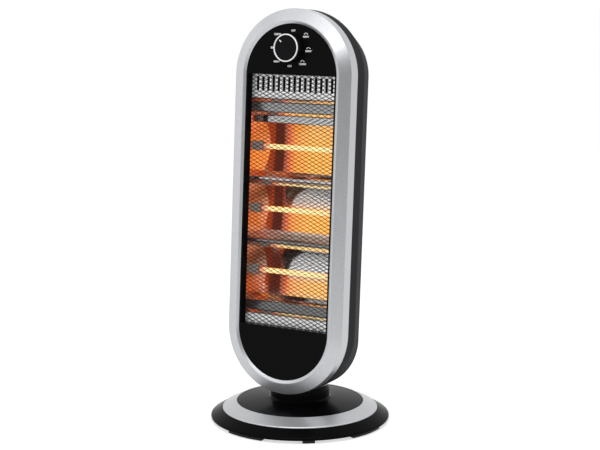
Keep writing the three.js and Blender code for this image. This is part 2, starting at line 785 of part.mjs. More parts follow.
function knobRing() {
  const outer = knobRadius + knobRibDepth / 2;
  const from = knobRimFront - knobRingSeat + fitGap;
  const ring = turned([[knobRingInner, from], [outer, from], [outer, knobRingFront - knobRingSeat / 2],
    [outer - knobRingSeat / 2, knobRingFront], [knobRingInner + knobRingSeat / 3, knobRingFront],
    [knobRingInner, knobRingFront - knobRingSeat / 3]]);
  return ring.translate(0, dialY, 0);
}

// Base

const plateBottom = footHeight;
const plateTop = plateBottom + plateThickness;
const skirtBottom = gearBottom + gearThickness + 2 * runningGap;
const screwPlaces = Array.from({ length: plateScrewCount }, (_, i) => {
  const angle = Math.PI * (2 * i + 1) / plateScrewCount;
  return [plateScrewRadius * Math.cos(angle), plateScrewRadius * Math.sin(angle)];
});

function coverUnderside(radius) {
  const slope = (ringInnerHeight - ringOuterHeight) / (ringOuterRadius - ringInnerRadius);
  return ringOuterHeight + slope * (ringOuterRadius - radius) - ringThickness - coverWall - fitGap;
}

function baseCover() {
  const seatOut = ringOuterRadius + fitGap;
  const seatIn = ringInnerRadius - fitGap;
  const seatDrop = ringThickness + fitGap;
  const collarFoot = domeTopHeight + collarWall;
  const bore = collarRadius - collarWall;
  const section = [
    [rimRadius, footHeight],
    [rimRadius, footHeight + rimEdgeHeight],
    [rimRadius - rimRound, footHeight + rimEdgeHeight + rimRound],
    [seatOut, ringOuterHeight],
    [seatOut, ringOuterHeight - seatDrop],
    [seatIn, ringInnerHeight - seatDrop],
    [seatIn, ringInnerHeight],
    [(seatIn + domeShoulderRadius) / 2, (ringInnerHeight + domeShoulderHeight) / 2 + rimRound / 2],
    [domeShoulderRadius, domeShoulderHeight],
    [collarRadius + collarWall, domeTopHeight],
    [collarRadius, collarFoot],
    [collarRadius, collarTop],
    [bore, collarTop],
    [bore, skirtBottom],
    [collarRadius, skirtBottom],
    [collarRadius, domeTopHeight - coverWall - rimRound],
    [domeShoulderRadius, domeShoulderHeight - coverWall],
    [(seatIn + domeShoulderRadius) / 2, (ringInnerHeight + domeShoulderHeight) / 2 + rimRound / 2 - coverWall],
    [seatIn - coverWall, coverUnderside(seatIn) + rimRound / 2],
    [seatOut, coverUnderside(seatOut)],
    [rimRadius - rimWall, footHeight + rimEdgeHeight],
    [rimRadius - rimWall, footHeight],
  ];
  const bossRoom = turned([[0, footHeight], [seatOut, footHeight],
    [seatOut, coverUnderside(seatOut) + coverWall / 2], [seatIn, coverUnderside(seatIn) + coverWall / 2],
    [0, coverUnderside(seatIn) + coverWall / 2]]);
  const bosses = screwPlaces.map(([x, y]) => common(
    disc(plateBossRadius, plateTop + fitGap, ringInnerHeight, x, y, smallRoundSteps), bossRoom));
  const holes = screwPlaces.map(([x, y]) => disc(screwRadius + fitGap, footHeight,
    plateTop + plateScrewLength, x, y, smallRoundSteps));
  return cut(join(turned(section), ...bosses), ...holes, bushRoom());
}

function bushRoom() {
  const length = rimRadius;
  const room = new THREE.CylinderGeometry(bushRadius + fitGap, bushRadius + fitGap, length, 2 * smallRoundSteps);
  return room.translate(0, bushInnerY - cutOverrun + length / 2, bushHeight);
}

function trimRing() {
  const section = [
    [ringOuterRadius, ringOuterHeight - ringThickness],
    [ringOuterRadius, ringOuterHeight + ringRise / 2],
    [ringOuterRadius - ringRise, ringOuterHeight + ringShoulderRise],
    [ringInnerRadius + ringRise, ringInnerHeight + ringRise],
    [ringInnerRadius, ringInnerHeight + ringRise / 2],
    [ringInnerRadius, ringInnerHeight - ringThickness],
  ];
  return turned(section);
}

function basePlate() {
  const shape = new THREE.Shape();
  shape.absarc(0, 0, rimRadius - rimWall - fitGap, 0, 2 * Math.PI);
  const sheet = new THREE.ExtrudeGeometry(shape, { depth: plateThickness, bevelEnabled: false,
    curveSegments: roundSteps / 2 }).translate(0, 0, plateBottom);
  const holes = screwPlaces.map(([x, y]) => disc(screwRadius + fitGap, plateBottom - cutOverrun,
    plateTop + cutOverrun, x, y, smallRoundSteps));
  const plungerHole = disc(plungerRadius + runningGap, plateBottom - cutOverrun, plateTop + cutOverrun,
    0, -tipDistance, 2 * smallRoundSteps);
  return cut(sheet, ...holes, plungerHole, bushRoom());
}

function footPad(angle, spread) {
  const points = [];
  for (let i = 0; i <= padSteps; i++) {
    const at = angle + spread * (i / padSteps - 1 / 2);
    points.push([padOuterRadius * Math.cos(at), padOuterRadius * Math.sin(at)]);
  }
  for (let i = padSteps; i >= 0; i--) {
    const at = angle + spread * (i / padSteps - 1 / 2);
    points.push([padInnerRadius * Math.cos(at), padInnerRadius * Math.sin(at)]);
  }
  return plate(polygon(points), 0, plateBottom - fitGap);
}

function cordBush() {
  const section = [[bushBore, bushInnerY], [bushRadius, bushInnerY], [bushRadius, rimRadius - bushRound],
    [bushRadius - bushRound, rimRadius], [bushBore, rimRadius]];
  const closed = [...section, section[0]].map(([radius, y]) => new THREE.Vector2(radius, y));
  return new THREE.LatheGeometry(closed, 2 * smallRoundSteps).translate(0, 0, bushHeight);
}

// Neck

const neckBottom = gearBottom + gearThickness + fitGap;
const neckRunRadius = collarRadius - collarWall - runningGap;

function neck() {
  const inner = neckRunRadius - neckWall;
  const spigotBore = spigotRadius - neckWall;
  const seat = collarTop + runningGap;
  const above = turned([[spigotBore, seat], [collarRadius, seat], [collarRadius, spigotTop], [spigotBore, spigotTop]]);
  const envelope = loft([headRing(-fitGap, shellFloor - cutOverrun - collarRadius),
    headRing(-fitGap, bezelCrest + cutOverrun)], false).applyMatrix4(headFrame.matrixWorld);
  const runner = turned([[inner, neckBottom], [neckRunRadius, neckBottom], [neckRunRadius, seat + neckLap],
    [inner, seat + neckLap]]);
  const saddle = cut(join(above, runner), envelope);
  const spigot = turned([[spigotBore, seat], [spigotRadius, seat], [spigotRadius, spigotTop],
    [spigotBore, spigotTop]]);
  return join(saddle, spigot);
}

// Gears: involute flanks, thinned by half the backlash each side

function gearOutline(teeth, isToothed, phase, stepsPerFlank) {
  const pitchRadius = toothModule * teeth / 2;
  const baseRadius = pitchRadius * Math.cos(pressureAngle);
  const tipRadius = pitchRadius + addendumShare * toothModule;
  const rootRadius = pitchRadius - dedendumShare * toothModule;
  const involute = (radius) => {
    const angle = Math.acos(Math.min(1, baseRadius / radius));
    return Math.tan(angle) - angle;
  };
  const halfTooth = Math.PI / (2 * teeth) - toothBacklash / (2 * pitchRadius);
  const halfAngleAt = (radius) => halfTooth + involute(pitchRadius) - involute(Math.max(radius, baseRadius));
  const start = Math.max(baseRadius, rootRadius);
  const points = [];
  for (let tooth = 0; tooth < teeth; tooth++) {
    const middle = phase + 2 * Math.PI * tooth / teeth;
    if (!isToothed(middle)) {
      points.push([rootRadius, middle]);
      continue;
    }
    points.push([rootRadius, middle - halfAngleAt(start)]);
    for (let i = 0; i <= stepsPerFlank; i++) {
      const radius = start + (tipRadius - start) * i / stepsPerFlank;
      if (i > 0 || start > rootRadius) points.push([radius, middle - halfAngleAt(radius)]);
    }
    for (let i = stepsPerFlank; i >= 0; i--) {
      const radius = start + (tipRadius - start) * i / stepsPerFlank;
      if (i > 0 || start > rootRadius) points.push([radius, middle + halfAngleAt(radius)]);
    }
    points.push([rootRadius, middle + halfAngleAt(start)]);
  }
  return points.map(([radius, angle]) => [radius * Math.cos(angle), radius * Math.sin(angle)]);
}

const pinionPitchRadius = toothModule * pinionTeeth / 2;
const motorDistance = gearPitchRadius + pinionPitchRadius;
const gearTop = gearBottom + gearThickness;

function swingGear() {
  const towardsMotor = Math.PI / 2;
  const isToothed = (angle) => Math.abs(angle - towardsMotor) <= toothedHalfAngle;
  const shape = polygon(gearOutline(gearTeeth, isToothed, 0, gearFlankSteps));
  const hole = new THREE.Path();
  hole.absarc(0, 0, gearBore, 0, 2 * Math.PI, true);
  shape.holes.push(hole);
  const geometry = new THREE.ExtrudeGeometry(shape, { depth: gearThickness, bevelEnabled: false,
    curveSegments: roundSteps / 2 });
  return geometry.translate(0, 0, gearBottom);
}

function drivePinion() {
  const phase = Math.PI / pinionTeeth;
  const shape = polygon(gearOutline(pinionTeeth, () => true, phase, pinionFlankSteps));
  const hole = new THREE.Path();
  hole.absarc(0, 0, motorShaftRadius + runningGap / 2, 0, 2 * Math.PI, true);
  shape.holes.push(hole);
  const geometry = new THREE.ExtrudeGeometry(shape, { depth: gearThickness + fitGap, bevelEnabled: false,
    curveSegments: smallRoundSteps / 2 });
  return geometry.translate(0, motorDistance, gearBottom - fitGap / 2);
}

const motorTop = gearBottom - 3 * fitGap;

function swingMotor() {
  const from = plateTop + fitGap;
  const can = disc(motorRadius, from, motorTop, 0, motorDistance, 2 * smallRoundSteps);
  const shaftPin = disc(motorShaftRadius, motorTop - cutOverrun, gearTop, 0, motorDistance, smallRoundSteps);
  const ears = [-1, 1].map((sign) => {
    const x = sign * (motorRadius + motorEarRadius);
    const ear = disc(motorEarRadius, from, from + motorEarThickness, x, motorDistance, smallRoundSteps);
    const web = block(Math.min(x, sign * motorRadius / 2), Math.max(x, sign * motorRadius / 2),
      motorDistance - motorEarRadius, motorDistance + motorEarRadius, from, from + motorEarThickness);
    const hole = disc(screwRadius, from - cutOverrun, from + 2 * cutOverrun, x, motorDistance, smallRoundSteps);
    return cut(join(ear, web), hole);
  });
  return join(can, shaftPin, ...ears);
}

// Tip-over switch

function tipPlunger() {
  const headTop = plungerHeadBottom + plungerHeadHeight;
  return turned([[0, plungerFloorGap], [plungerRadius, plungerFloorGap], [plungerRadius, plungerHeadBottom],
    [plungerHead, plungerHeadBottom], [plungerHead, headTop], [plungerStemRadius, headTop],
    [plungerStemRadius, plungerTop], [0, plungerTop]], 2 * smallRoundSteps).translate(0, -tipDistance, 0);
}

function tipGuide() {
  const from = plateTop + fitGap;
  const inner = guideRadius - guideWall;
  const stemHole = plungerStemRadius + runningGap;
  return turned([[inner, from], [guideRadius + guideWall, from], [guideRadius + guideWall, from + guideWall],
    [guideRadius, from + guideWall], [guideRadius, guideTop], [stemHole, guideTop],
    [stemHole, guideTop - guideWall], [inner, guideTop - guideWall]],
    2 * smallRoundSteps).translate(0, -tipDistance, 0);
}

const springBottom = plungerHeadBottom + plungerHeadHeight + fitGap;
const springTop = guideTop - guideWall - fitGap;

function tipSpring() {
  const inner = plungerStemRadius + 2 * runningGap;
  const outer = inner + springWall;
  return turned([[inner, springBottom], [outer, springBottom], [outer, springTop], [inner, springTop]],
    smallRoundSteps).translate(0, -tipDistance, 0);
}

function tipSwitch() {
  const left = guideRadius + fitGap;
  const right = left + switchBodyWidth;
  const bodyTop = guideTop - guideWall;
  const from = bodyTop - switchBodyHeight;
  const leverBottom = plungerTop + fitGap;
  const near = -plungerStemRadius;
  const outline = polygon([[left, from], [right, from], [right, leverBottom + leverThickness],
    [near, leverBottom + leverThickness], [near, leverBottom], [right - leverThickness, leverBottom],
    [right - leverThickness, bodyTop], [left, bodyTop]]);
  const solid = plate(outline, -switchBodyDepth / 2, switchBodyDepth / 2).rotateX(Math.PI / 2);
  const foot = block(right - 2 * leverThickness - guideWall, right, -tipDistance - switchBodyDepth / 2,
    -tipDistance + switchBodyDepth / 2, plateTop + fitGap, from + leverThickness);
  return join(solid.translate(0, -tipDistance, 0), foot);
}

// Assembly

addPiece(headFrame, 'bezel', bezel(), finishes.silver);
addPiece(headFrame, 'rear_shell', rearShell(), finishes.darkShell);
addPiece(headFrame, 'front_panel', frontPanel(), finishes.glossBlack);
addPiece(headFrame, 'guard_mesh', guardMesh(), finishes.meshBlack);
addPiece(headFrame, 'reflector', reflector(), finishes.polishedSheet);
addPiece(headFrame, 'reflector_end_left', reflectorEnd(-1), finishes.polishedSheet);
addPiece(headFrame, 'reflector_end_right', reflectorEnd(1), finishes.polishedSheet);
troughCentres.forEach((y, i) => {
  const place = ['upper', 'middle', 'lower'][i];
  addPiece(headFrame, `quartz_tube_${place}`, quartzTube(y), finishes.quartz);
  addPiece(headFrame, `filament_${place}`, filament(y), finishes.filament);
  addPiece(headFrame, `end_cap_${place}_left`, endCap(y, -1), finishes.ceramic);
  addPiece(headFrame, `end_cap_${place}_right`, endCap(y, 1), finishes.ceramic);
});
addPiece(headFrame, 'heat_shield', heatShield(), finishes.steel);
addPiece(headFrame, 'thermal_cutout', thermalCutout(), finishes.steel);
addPiece(headFrame, 'terminal_block', terminalBlock(), finishes.nylon);
addPiece(headFrame, 'rotary_switch', rotarySwitch(), finishes.blackPlastic);
addPiece(headFrame, 'switch_shaft', shaft(), finishes.steel);
addPiece(headFrame, 'knob', knob(), finishes.blackPlastic);
addPiece(headFrame, 'knob_ring', knobRing(), finishes.white);
addPiece(headFrame, 'knob_pointer', pointerBlock(0), finishes.white);

addPiece(group, 'neck', neck(), finishes.blackPlastic);
addPiece(group, 'swing_gear', swingGear(), finishes.nylon);
addPiece(group, 'base_cover', baseCover(), finishes.blackPlastic);
addPiece(group, 'base_trim_ring', trimRing(), finishes.silver);
addPiece(group, 'base_plate', basePlate(), finishes.steel);
addPiece(group, 'cord_bush', cordBush(), finishes.rubber);
for (let quarter = 0; quarter < 4; quarter++) {
  const wideAt = padTurn + quarter * Math.PI / 2;
  addPiece(group, `foot_pad_wide_${quarter + 1}`, footPad(wideAt, widePadAngle), finishes.rubber);
  addPiece(group, `foot_pad_narrow_${quarter + 1}`, footPad(wideAt + Math.PI / 4, narrowPadAngle),
    finishes.rubber);
}
addPiece(group, 'swing_motor', swingMotor(), finishes.steel);
addPiece(group, 'drive_pinion', drivePinion(), finishes.nylon);
addPiece(group, 'tip_plunger', tipPlunger(), finishes.nylon);
addPiece(group, 'tip_guide', tipGuide(), finishes.blackPlastic);
addPiece(group, 'tip_spring', tipSpring(), finishes.steel);
addPiece(group, 'tip_switch', tipSwitch(), finishes.blackPlastic);

export default group;
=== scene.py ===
# %% [markdown]
# # A quartz tube heater, dressed in Blender
# The heater comes here as a solid model with exact sizes and moving joints. This lesson
# gives it smooth surfaces, real finishes, glowing tubes and printed marks, and leaves
# every solid where it is. Each new piece rides on the moving body that carries it.

import math

import bmesh
import bpy
from mathutils import Matrix, Vector


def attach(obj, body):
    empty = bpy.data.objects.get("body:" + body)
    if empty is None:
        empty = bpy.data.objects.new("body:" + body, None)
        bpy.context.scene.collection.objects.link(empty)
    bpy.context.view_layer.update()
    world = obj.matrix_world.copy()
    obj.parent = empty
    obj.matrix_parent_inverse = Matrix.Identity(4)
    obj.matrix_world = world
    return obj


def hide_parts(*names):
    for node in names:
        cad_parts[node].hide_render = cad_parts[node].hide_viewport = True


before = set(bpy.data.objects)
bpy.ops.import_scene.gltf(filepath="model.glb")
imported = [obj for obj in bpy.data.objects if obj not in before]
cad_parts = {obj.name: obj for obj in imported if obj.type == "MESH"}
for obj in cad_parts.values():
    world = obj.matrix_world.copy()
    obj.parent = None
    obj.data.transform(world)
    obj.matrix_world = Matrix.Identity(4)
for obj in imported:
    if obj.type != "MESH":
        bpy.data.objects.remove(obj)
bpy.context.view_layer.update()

# %% [markdown]
# ## Units and the leaning head
# Sizes are easiest to read in millimetres, so one value turns them into metres. The head
# leans back a little. Its pieces are modelled upright and flat, with X to the right, Y up
# the head and Z out of its face, and one matrix then stands them up.

# %% Units and the head's own axes
MM = 0.001
HEAD_LEAN = math.radians(3.85)
HEAD_CENTRE = 343.5 * MM
HEAD = Matrix.Translation((0, 0, HEAD_CENTRE)) @ Matrix.Rotation(math.pi / 2 - HEAD_LEAN, 4, "X")
UPRIGHT = Matrix.Identity(4)
TURN = 2 * math.pi

# %% [markdown]
# ## The camera
# The picture was taken from the front right, a little above the heater, from over two
# metres away. A long lens at a long distance gives the same gentle perspective.

# %% Set up the camera
AIM = Vector((0, 0, 308 * MM))
AZIMUTH = math.radians(30.40)
ELEVATION = math.radians(9.42)
DISTANCE = 2341 * MM
PICTURE_WIDTH = 600
FOCAL_PIXELS = 1514.1
towards_camera = Vector((math.sin(AZIMUTH) * math.cos(ELEVATION),
                         -math.cos(AZIMUTH) * math.cos(ELEVATION), math.sin(ELEVATION)))
camera_data = bpy.data.cameras.new("camera")
camera_data.sensor_width = 36
camera_data.lens = camera_data.sensor_width * FOCAL_PIXELS / PICTURE_WIDTH
camera = bpy.data.objects.new("camera", camera_data)
camera.location = AIM + towards_camera * DISTANCE
camera.rotation_mode = "QUATERNION"
camera.rotation_quaternion = (-towards_camera).to_track_quat("-Z", "Y")
bpy.context.scene.collection.objects.link(camera)
bpy.context.scene.camera = camera
bpy.context.scene.view_settings.view_transform = "Standard"
print("lens:", round(camera_data.lens, 2), "mm")

# %% [markdown]
# ## Shader maths as plain sums
# A material is a graph of nodes. Writing each Math node by hand is slow to read, so a
# small class wraps a socket and lets ordinary signs such as + and * add the nodes. One
# method of the finish adds every other kind of node.

# %% A socket that takes part in sums, and a finish that adds nodes


class Signal:
    """One output of a node. Sums with it add Math nodes."""

    def __init__(self, finish, socket):
        self.finish = finish
        self.socket = socket

    def maths(self, operation, first, second):
        return self.finish.add("ShaderNodeMath", {"operation": operation}, {0: first, 1: second})

    def __add__(self, other):
        return self.maths("ADD", self, other)

    def __sub__(self, other):
        return self.maths("SUBTRACT", self, other)

    def __rsub__(self, other):
        return self.maths("SUBTRACT", other, self)

    def __mul__(self, other):
        return self.maths("MULTIPLY", self, other)

    __radd__ = __add__
    __rmul__ = __mul__


class Finish:
    """A material and the nodes in it."""

    def __init__(self, name, tree=None):
        if tree is None:
            self.material = bpy.data.materials.new(name)
            self.material.use_nodes = True
            tree = self.material.node_tree
        self.tree = tree
        self.tree.nodes.clear()

    def add(self, kind, settings=None, inputs=None, output=0):
        node = self.tree.nodes.new(kind)
        for name, value in (settings or {}).items():
            if name == "stops":
                ramp = node.color_ramp.elements
                while len(ramp) < len(value):
                    ramp.new(1)
                for stop, (place, colour) in zip(ramp, value):
                    stop.position = place
                    stop.color = (*colour, 1)
            else:
                setattr(node, name, value)
        for name, value in (inputs or {}).items():
            if isinstance(value, Signal):
                self.tree.links.new(value.socket, node.inputs[name])
            else:
                node.inputs[name].default_value = value
        return Signal(self, node.outputs[output])

    def place(self, scale=(1, 1, 1)):
        where = self.add("ShaderNodeTexCoord", output="Object")
        return self.add("ShaderNodeMapping", inputs={"Vector": where, "Scale": scale})

    def noise(self, size, detail=2, where=None):
        return self.add("ShaderNodeTexNoise", inputs={
            "Vector": where or self.place(), "Scale": 1 / size, "Detail": detail})

    def ramp(self, value, *stops):
        return self.add("ShaderNodeValToRGB", {"stops": stops}, {"Fac": value})

    def mix(self, share, first, second):
        return self.add("ShaderNodeMix", {"data_type": "RGBA"},
                        {"Factor": share, "A": first, "B": second}, output="Result")

    def bump(self, height, depth, strength=1.0):
        return self.add("ShaderNodeBump", inputs={
            "Height": height, "Distance": depth, "Strength": strength})

    def surface(self, inputs):
        self.add_output(self.add("ShaderNodeBsdfPrincipled", inputs=inputs))
        return self.material

    def add_output(self, shader, kind="ShaderNodeOutputMaterial"):
        node = self.tree.nodes.new(kind)
        self.tree.links.new(shader.socket, node.inputs["Surface"])


# %% [markdown]
# ## Floor and background
# The picture stands on plain white. The world is white where the camera or a reflection
# looks at it, and gentler where it lights matt surfaces. The floor is pale and takes a
# soft shadow, and it is lifted to white in the same way as the world.

# %% World and floor
WORLD_LIGHT = 0.62
WHITE = (1, 1, 1, 1)
FLOOR_SIDE = 60
FLOOR_LIFT = 0.47
FLOOR_CLOUD = 0.4


def seen_directly(finish):
    sight = [finish.add("ShaderNodeLightPath", output=name)
             for name in ("Is Camera Ray", "Is Glossy Ray", "Is Transmission Ray")]
    return finish.add("ShaderNodeMath", {"operation": "ADD", "use_clamp": True},
                      {0: sight[0] + sight[1], 1: sight[2]})


world = bpy.data.worlds.new("studio")
bpy.context.scene.world = world
world.use_nodes = True
sky = Finish("studio", world.node_tree)
sky_strength = seen_directly(sky) * (1 - WORLD_LIGHT) + WORLD_LIGHT
sky.add_output(sky.add("ShaderNodeBackground", inputs={"Color": WHITE, "Strength": sky_strength}),
               "ShaderNodeOutputWorld")

ground = Finish("floor_white")
ground_grain = ground.ramp(ground.noise(FLOOR_CLOUD), (0.0, (0.84, 0.84, 0.84)),
                           (1.0, (0.86, 0.86, 0.86)))
ground_paint = ground.add("ShaderNodeBsdfDiffuse", inputs={"Color": ground_grain})
ground_glow = ground.add("ShaderNodeEmission", inputs={
    "Color": WHITE, "Strength": seen_directly(ground) * FLOOR_LIFT})
ground.add_output(ground.add("ShaderNodeAddShader", inputs={0: ground_paint, 1: ground_glow}))


def linked(bm, name):
    """Writes a bmesh into a new object of the scene."""
    mesh = bpy.data.meshes.new(name)
    bm.to_mesh(mesh)
    bm.free()
    made = bpy.data.objects.new(name, mesh)
    bpy.context.scene.collection.objects.link(made)
    return made


def studio_sheet(name, material, where):
    """A square metre of the studio, stretched and put in place by a matrix."""
    bm = bmesh.new()
    bmesh.ops.create_grid(bm, x_segments=1, y_segments=1, size=0.5, matrix=where)
    made = linked(bm, name)
    made.data.materials.append(material)
    return made


studio_sheet("floor", ground.material, Matrix.Diagonal((FLOOR_SIDE, FLOOR_SIDE, 1, 1)))
print("floor side:", FLOOR_SIDE, "m")

# %% [markdown]
# ## Soft boxes and a dark screen
# Large soft boxes light the top, the front and both sides. A small one in front, high on
# the right, draws the bright lines on the frame's crest and on its lower inner lip. A dark
# screen behind the camera gives the silver frame and the black panel something dark to
# mirror. It is hidden from the camera, from matt surfaces and from shadows, so that only
# glossy ones find it.

# %% Lamps and screen
HEAD_AIM = Vector((0, 0, 0.35))
SOFT_BOXES = {  # place, width and height in metres, power in watts
    "top": ((0.3, -0.5, 2.0), 1.4, 1.0, 9),
    "left": ((-2.2, -0.6, 0.9), 0.8, 1.6, 1.8),
    "right": ((1.9, 0.9, 1.0), 0.8, 1.6, 3),
    "front": ((-1.0, -2.0, 2.1), 2.4, 1.0, 7),
    "crest": ((0.4, -2.1, 1.8), 0.6, 0.4, 6),
}
SCREEN_GREY = (0.05, 0.05, 0.05, 1)
SCREEN_TURN = math.radians(30)
SCREEN_PLACE = (0, -3.4, 1.10)
SCREEN_WIDTH = 2.4
SCREEN_HEIGHT = 1.9
for name, (place, width, height, power) in SOFT_BOXES.items():
    lamp = bpy.data.lights.new(f"soft_box_{name}", "AREA")
    lamp.shape = "RECTANGLE"
    lamp.size = width
    lamp.size_y = height
    lamp.energy = power
    light = bpy.data.objects.new(f"soft_box_{name}", lamp)
    light.location = place
    light.rotation_mode = "QUATERNION"
    light.rotation_quaternion = (HEAD_AIM - Vector(place)).to_track_quat("-Z", "Y")
    bpy.context.scene.collection.objects.link(light)
screen_finish = Finish("screen_dark")
screen_finish.add_output(screen_finish.add("ShaderNodeBsdfDiffuse", inputs={"Color": SCREEN_GREY}))
screen = studio_sheet("screen", screen_finish.material, (
    Matrix.Rotation(SCREEN_TURN, 4, "Z") @ Matrix.Translation(SCREEN_PLACE)
    @ Matrix.Rotation(math.pi / 2, 4, "X") @ Matrix.Diagonal((SCREEN_WIDTH, SCREEN_HEIGHT, 1, 1))))
screen.visible_camera = False
screen.visible_diffuse = False
screen.visible_shadow = False
print("soft boxes:", ", ".join(SOFT_BOXES))

# %% [markdown]
# ## Plastics and paints
# The frame and the base ring are moulded plastic in satin silver paint: tiny metal flakes
# in a clear coat, which sparkle a little from place to place. The flakes are a fine noise
# in colour and roughness, and the paint is mostly metallic with a thin coat. The black
# parts differ in gloss: the front panel is smooth, the base is satin, and the rear shell
# has a fine moulded grain.

# %% Silver paint
FLAKE = 0.9 * MM
PAINT_CLOUD = 60 * MM
DARK_FLAKE = (0.40, 0.41, 0.425)
LIGHT_FLAKE = (0.60, 0.61, 0.63)


def silver_paint():
    paint = Finish("satin_silver")
    flake = paint.noise(FLAKE, 3)
    cloud = paint.noise(PAINT_CLOUD, 2)
    colour = paint.ramp(flake, (0.3, DARK_FLAKE), (0.7, LIGHT_FLAKE))
    return paint.surface({
        "Base Color": colour, "Metallic": 0.78, "Roughness": flake * 0.12 + cloud * 0.06 + 0.25,
        "Coat Weight": 0.15, "Coat Roughness": 0.2, "Normal": paint.bump(flake, 0.05 * MM, 0.5)})


# %% Black and dark grey mouldings
MOULD_CLOUD = 45 * MM
TINT = 0.14


def moulding(name, colour, roughness, grain, relief, specular=0.5):
    """Plastic with a fine grain. The grain's size and relief are in millimetres."""
    plastic = Finish(name)
    speck = plastic.noise(grain * MM, 3)
    drift = plastic.noise(MOULD_CLOUD, 2)
    darker = [channel * (1 - TINT) for channel in colour]
    lighter = [channel * (1 + TINT) for channel in colour]
    return plastic.surface({
        "Base Color": plastic.ramp(speck, (0.3, darker), (0.7, lighter)),
        "Roughness": speck * 0.08 + drift * 0.06 + (roughness - 0.07),
        "Specular IOR Level": specular, "Normal": plastic.bump(speck, relief * MM, 0.6)})


SILVER = silver_paint()
PANEL_BLACK = moulding("panel_black", (0.004, 0.004, 0.0045), roughness=0.22,
                       grain=0.5, relief=0.004, specular=0.03)
SHELL_GREY = moulding("grained_grey", (0.024, 0.024, 0.027), roughness=0.74,
                      grain=0.6, relief=0.06, specular=0.09)
BASE_BLACK = moulding("base_black", (0.002, 0.002, 0.0025), roughness=0.24,
                      grain=0.5, relief=0.006, specular=0.03)
KNOB_BLACK = moulding("knob_black", (0.005, 0.005, 0.006), roughness=0.30,
                      grain=0.4, relief=0.02, specular=0.06)
INNER_BLACK = moulding("inner_black", (0.02, 0.02, 0.021), roughness=0.5,
                       grain=0.6, relief=0.03)
NYLON = moulding("natural_nylon", (0.72, 0.71, 0.66), roughness=0.45,
                 grain=0.8, relief=0.02)
RUBBER = moulding("black_rubber", (0.018, 0.018, 0.018), roughness=0.75,
                  grain=0.7, relief=0.05, specular=0.3)
PRINT_WHITE = moulding("print_white", (0.92, 0.92, 0.92), roughness=0.45,
                       grain=0.3, relief=0.002)
MESH_BLACK = moulding("mesh_black", (0.010, 0.010, 0.010), roughness=0.6,
                      grain=0.5, relief=0.02, specular=0.2)
print("materials so far:", len(bpy.data.materials))

# %% [markdown]
# ## Polished sheet and plated steel
# The reflector is aluminium sheet, rolled and polished. Rolling leaves faint lines along
# the sheet, so a noise is stretched along X and drives the roughness and a very shallow
# bump. Its finish changes in bands up the head, which a ramp holds: the troughs are mirror
# bright, the plates are satin, and the end ridges and one ridge between the troughs are
# rougher and painted darker, as painted shade for the dark things they mirror. The end
# plates carry a painted orange glow for the light that the tubes throw on them. The plated
# steel of the base plate and the screws is duller and mottled.

# %% Places and bands up the head, in millimetres
TUBE_DEPTH = 2
TROUGH_PITCH = 96.9
TROUGH_MIDDLE = -13.5
# A painted glow up the end plates, where the tubes' light falls on them, by height.
END_PAINTED_GLOW = (  # height, glow
    (-171, 0.2), (-150, 0.4), (-145, 1.1), (-128, 1.1), (-118, 0.3), (-70, 0.15), (-58, 0.2),
    (-48, 1.0), (-14, 1.0), (2, 0.35), (32, 0.25), (42, 0.9), (60, 1.0), (128, 0.9), (154, 0.4))
# The lower greys on the ridges (0.24, 0.35, 0.48) are painted shade for the dark surroundings they
# mirror.
SHEET_BANDS = (  # height, grey, roughness
    (-200, 0.95, 0.5), (-176.5, 0.95, 0.5), (-175.5, 0.82, 0.06), (-171, 0.82, 0.06),
    (-170, 0.24, 0.25), (-158, 0.24, 0.25), (-157, 0.82, 0.03), (-66, 0.82, 0.03),
    (-65, 0.35, 0.2), (-59, 0.35, 0.2), (-58, 0.95, 0.5), (-50, 0.95, 0.5), (-49, 0.82, 0.03),
    (131, 0.82, 0.03), (138.5, 0.82, 0.05), (139.5, 0.48, 0.26), (151.5, 0.48, 0.26),
    (152.5, 0.82, 0.06), (158.5, 0.82, 0.06), (159.5, 0.95, 0.5), (200, 0.95, 0.5))
ROLLING_LINE = 1.1 * MM
HEAT_STAIN = 38 * MM


def from_centre(finish, axis):
    """The distance from the head's centre along one of its own axes."""
    where = finish.add("ShaderNodeTexCoord", output="Object")
    along = HEAD.to_3x3() @ Vector(axis)
    reach = finish.add("ShaderNodeVectorMath", {"operation": "DOT_PRODUCT"},
                       {0: where, 1: along}, output="Value")
    return reach - HEAD.translation.dot(along)


def rolled(sheet, stretch=(1, 1, 1)):
    lines = sheet.noise(ROLLING_LINE, 3, sheet.place(scale=stretch))
    return lines, sheet.noise(HEAT_STAIN, 3), sheet.bump(lines, 0.01 * MM, 0.4)


def banded(finish, bands):
    """One ramp up the head for each column of values beside the bands' heights."""
    low, high = bands[0][0], bands[-1][0]
    height = from_centre(finish, (0, 1, 0))
    share = finish.add("ShaderNodeMapRange", inputs={
        "Value": height, "From Min": low * MM, "From Max": high * MM})
    heights, *columns = zip(*bands)
    return [finish.ramp(share, *(((height - low) / (high - low), (value, value, value))
                                 for height, value in zip(heights, column))) for column in columns]


def scaled(finish, colour, share):
    return finish.add("ShaderNodeVectorMath", {"operation": "SCALE"}, {0: colour, "Scale": share})


# %% The metals


def reflector_sheet():
    sheet = Finish("polished_sheet")
    lines, stain, relief = rolled(sheet, (0.04, 1, 1))
    grey, rough = banded(sheet, SHEET_BANDS)
    return sheet.surface({
        "Base Color": scaled(sheet, grey, stain * 0.12 + 0.92), "Metallic": 1.0, "Normal": relief,
        "Roughness": lines * 0.05 + stain * 0.05 + rough})


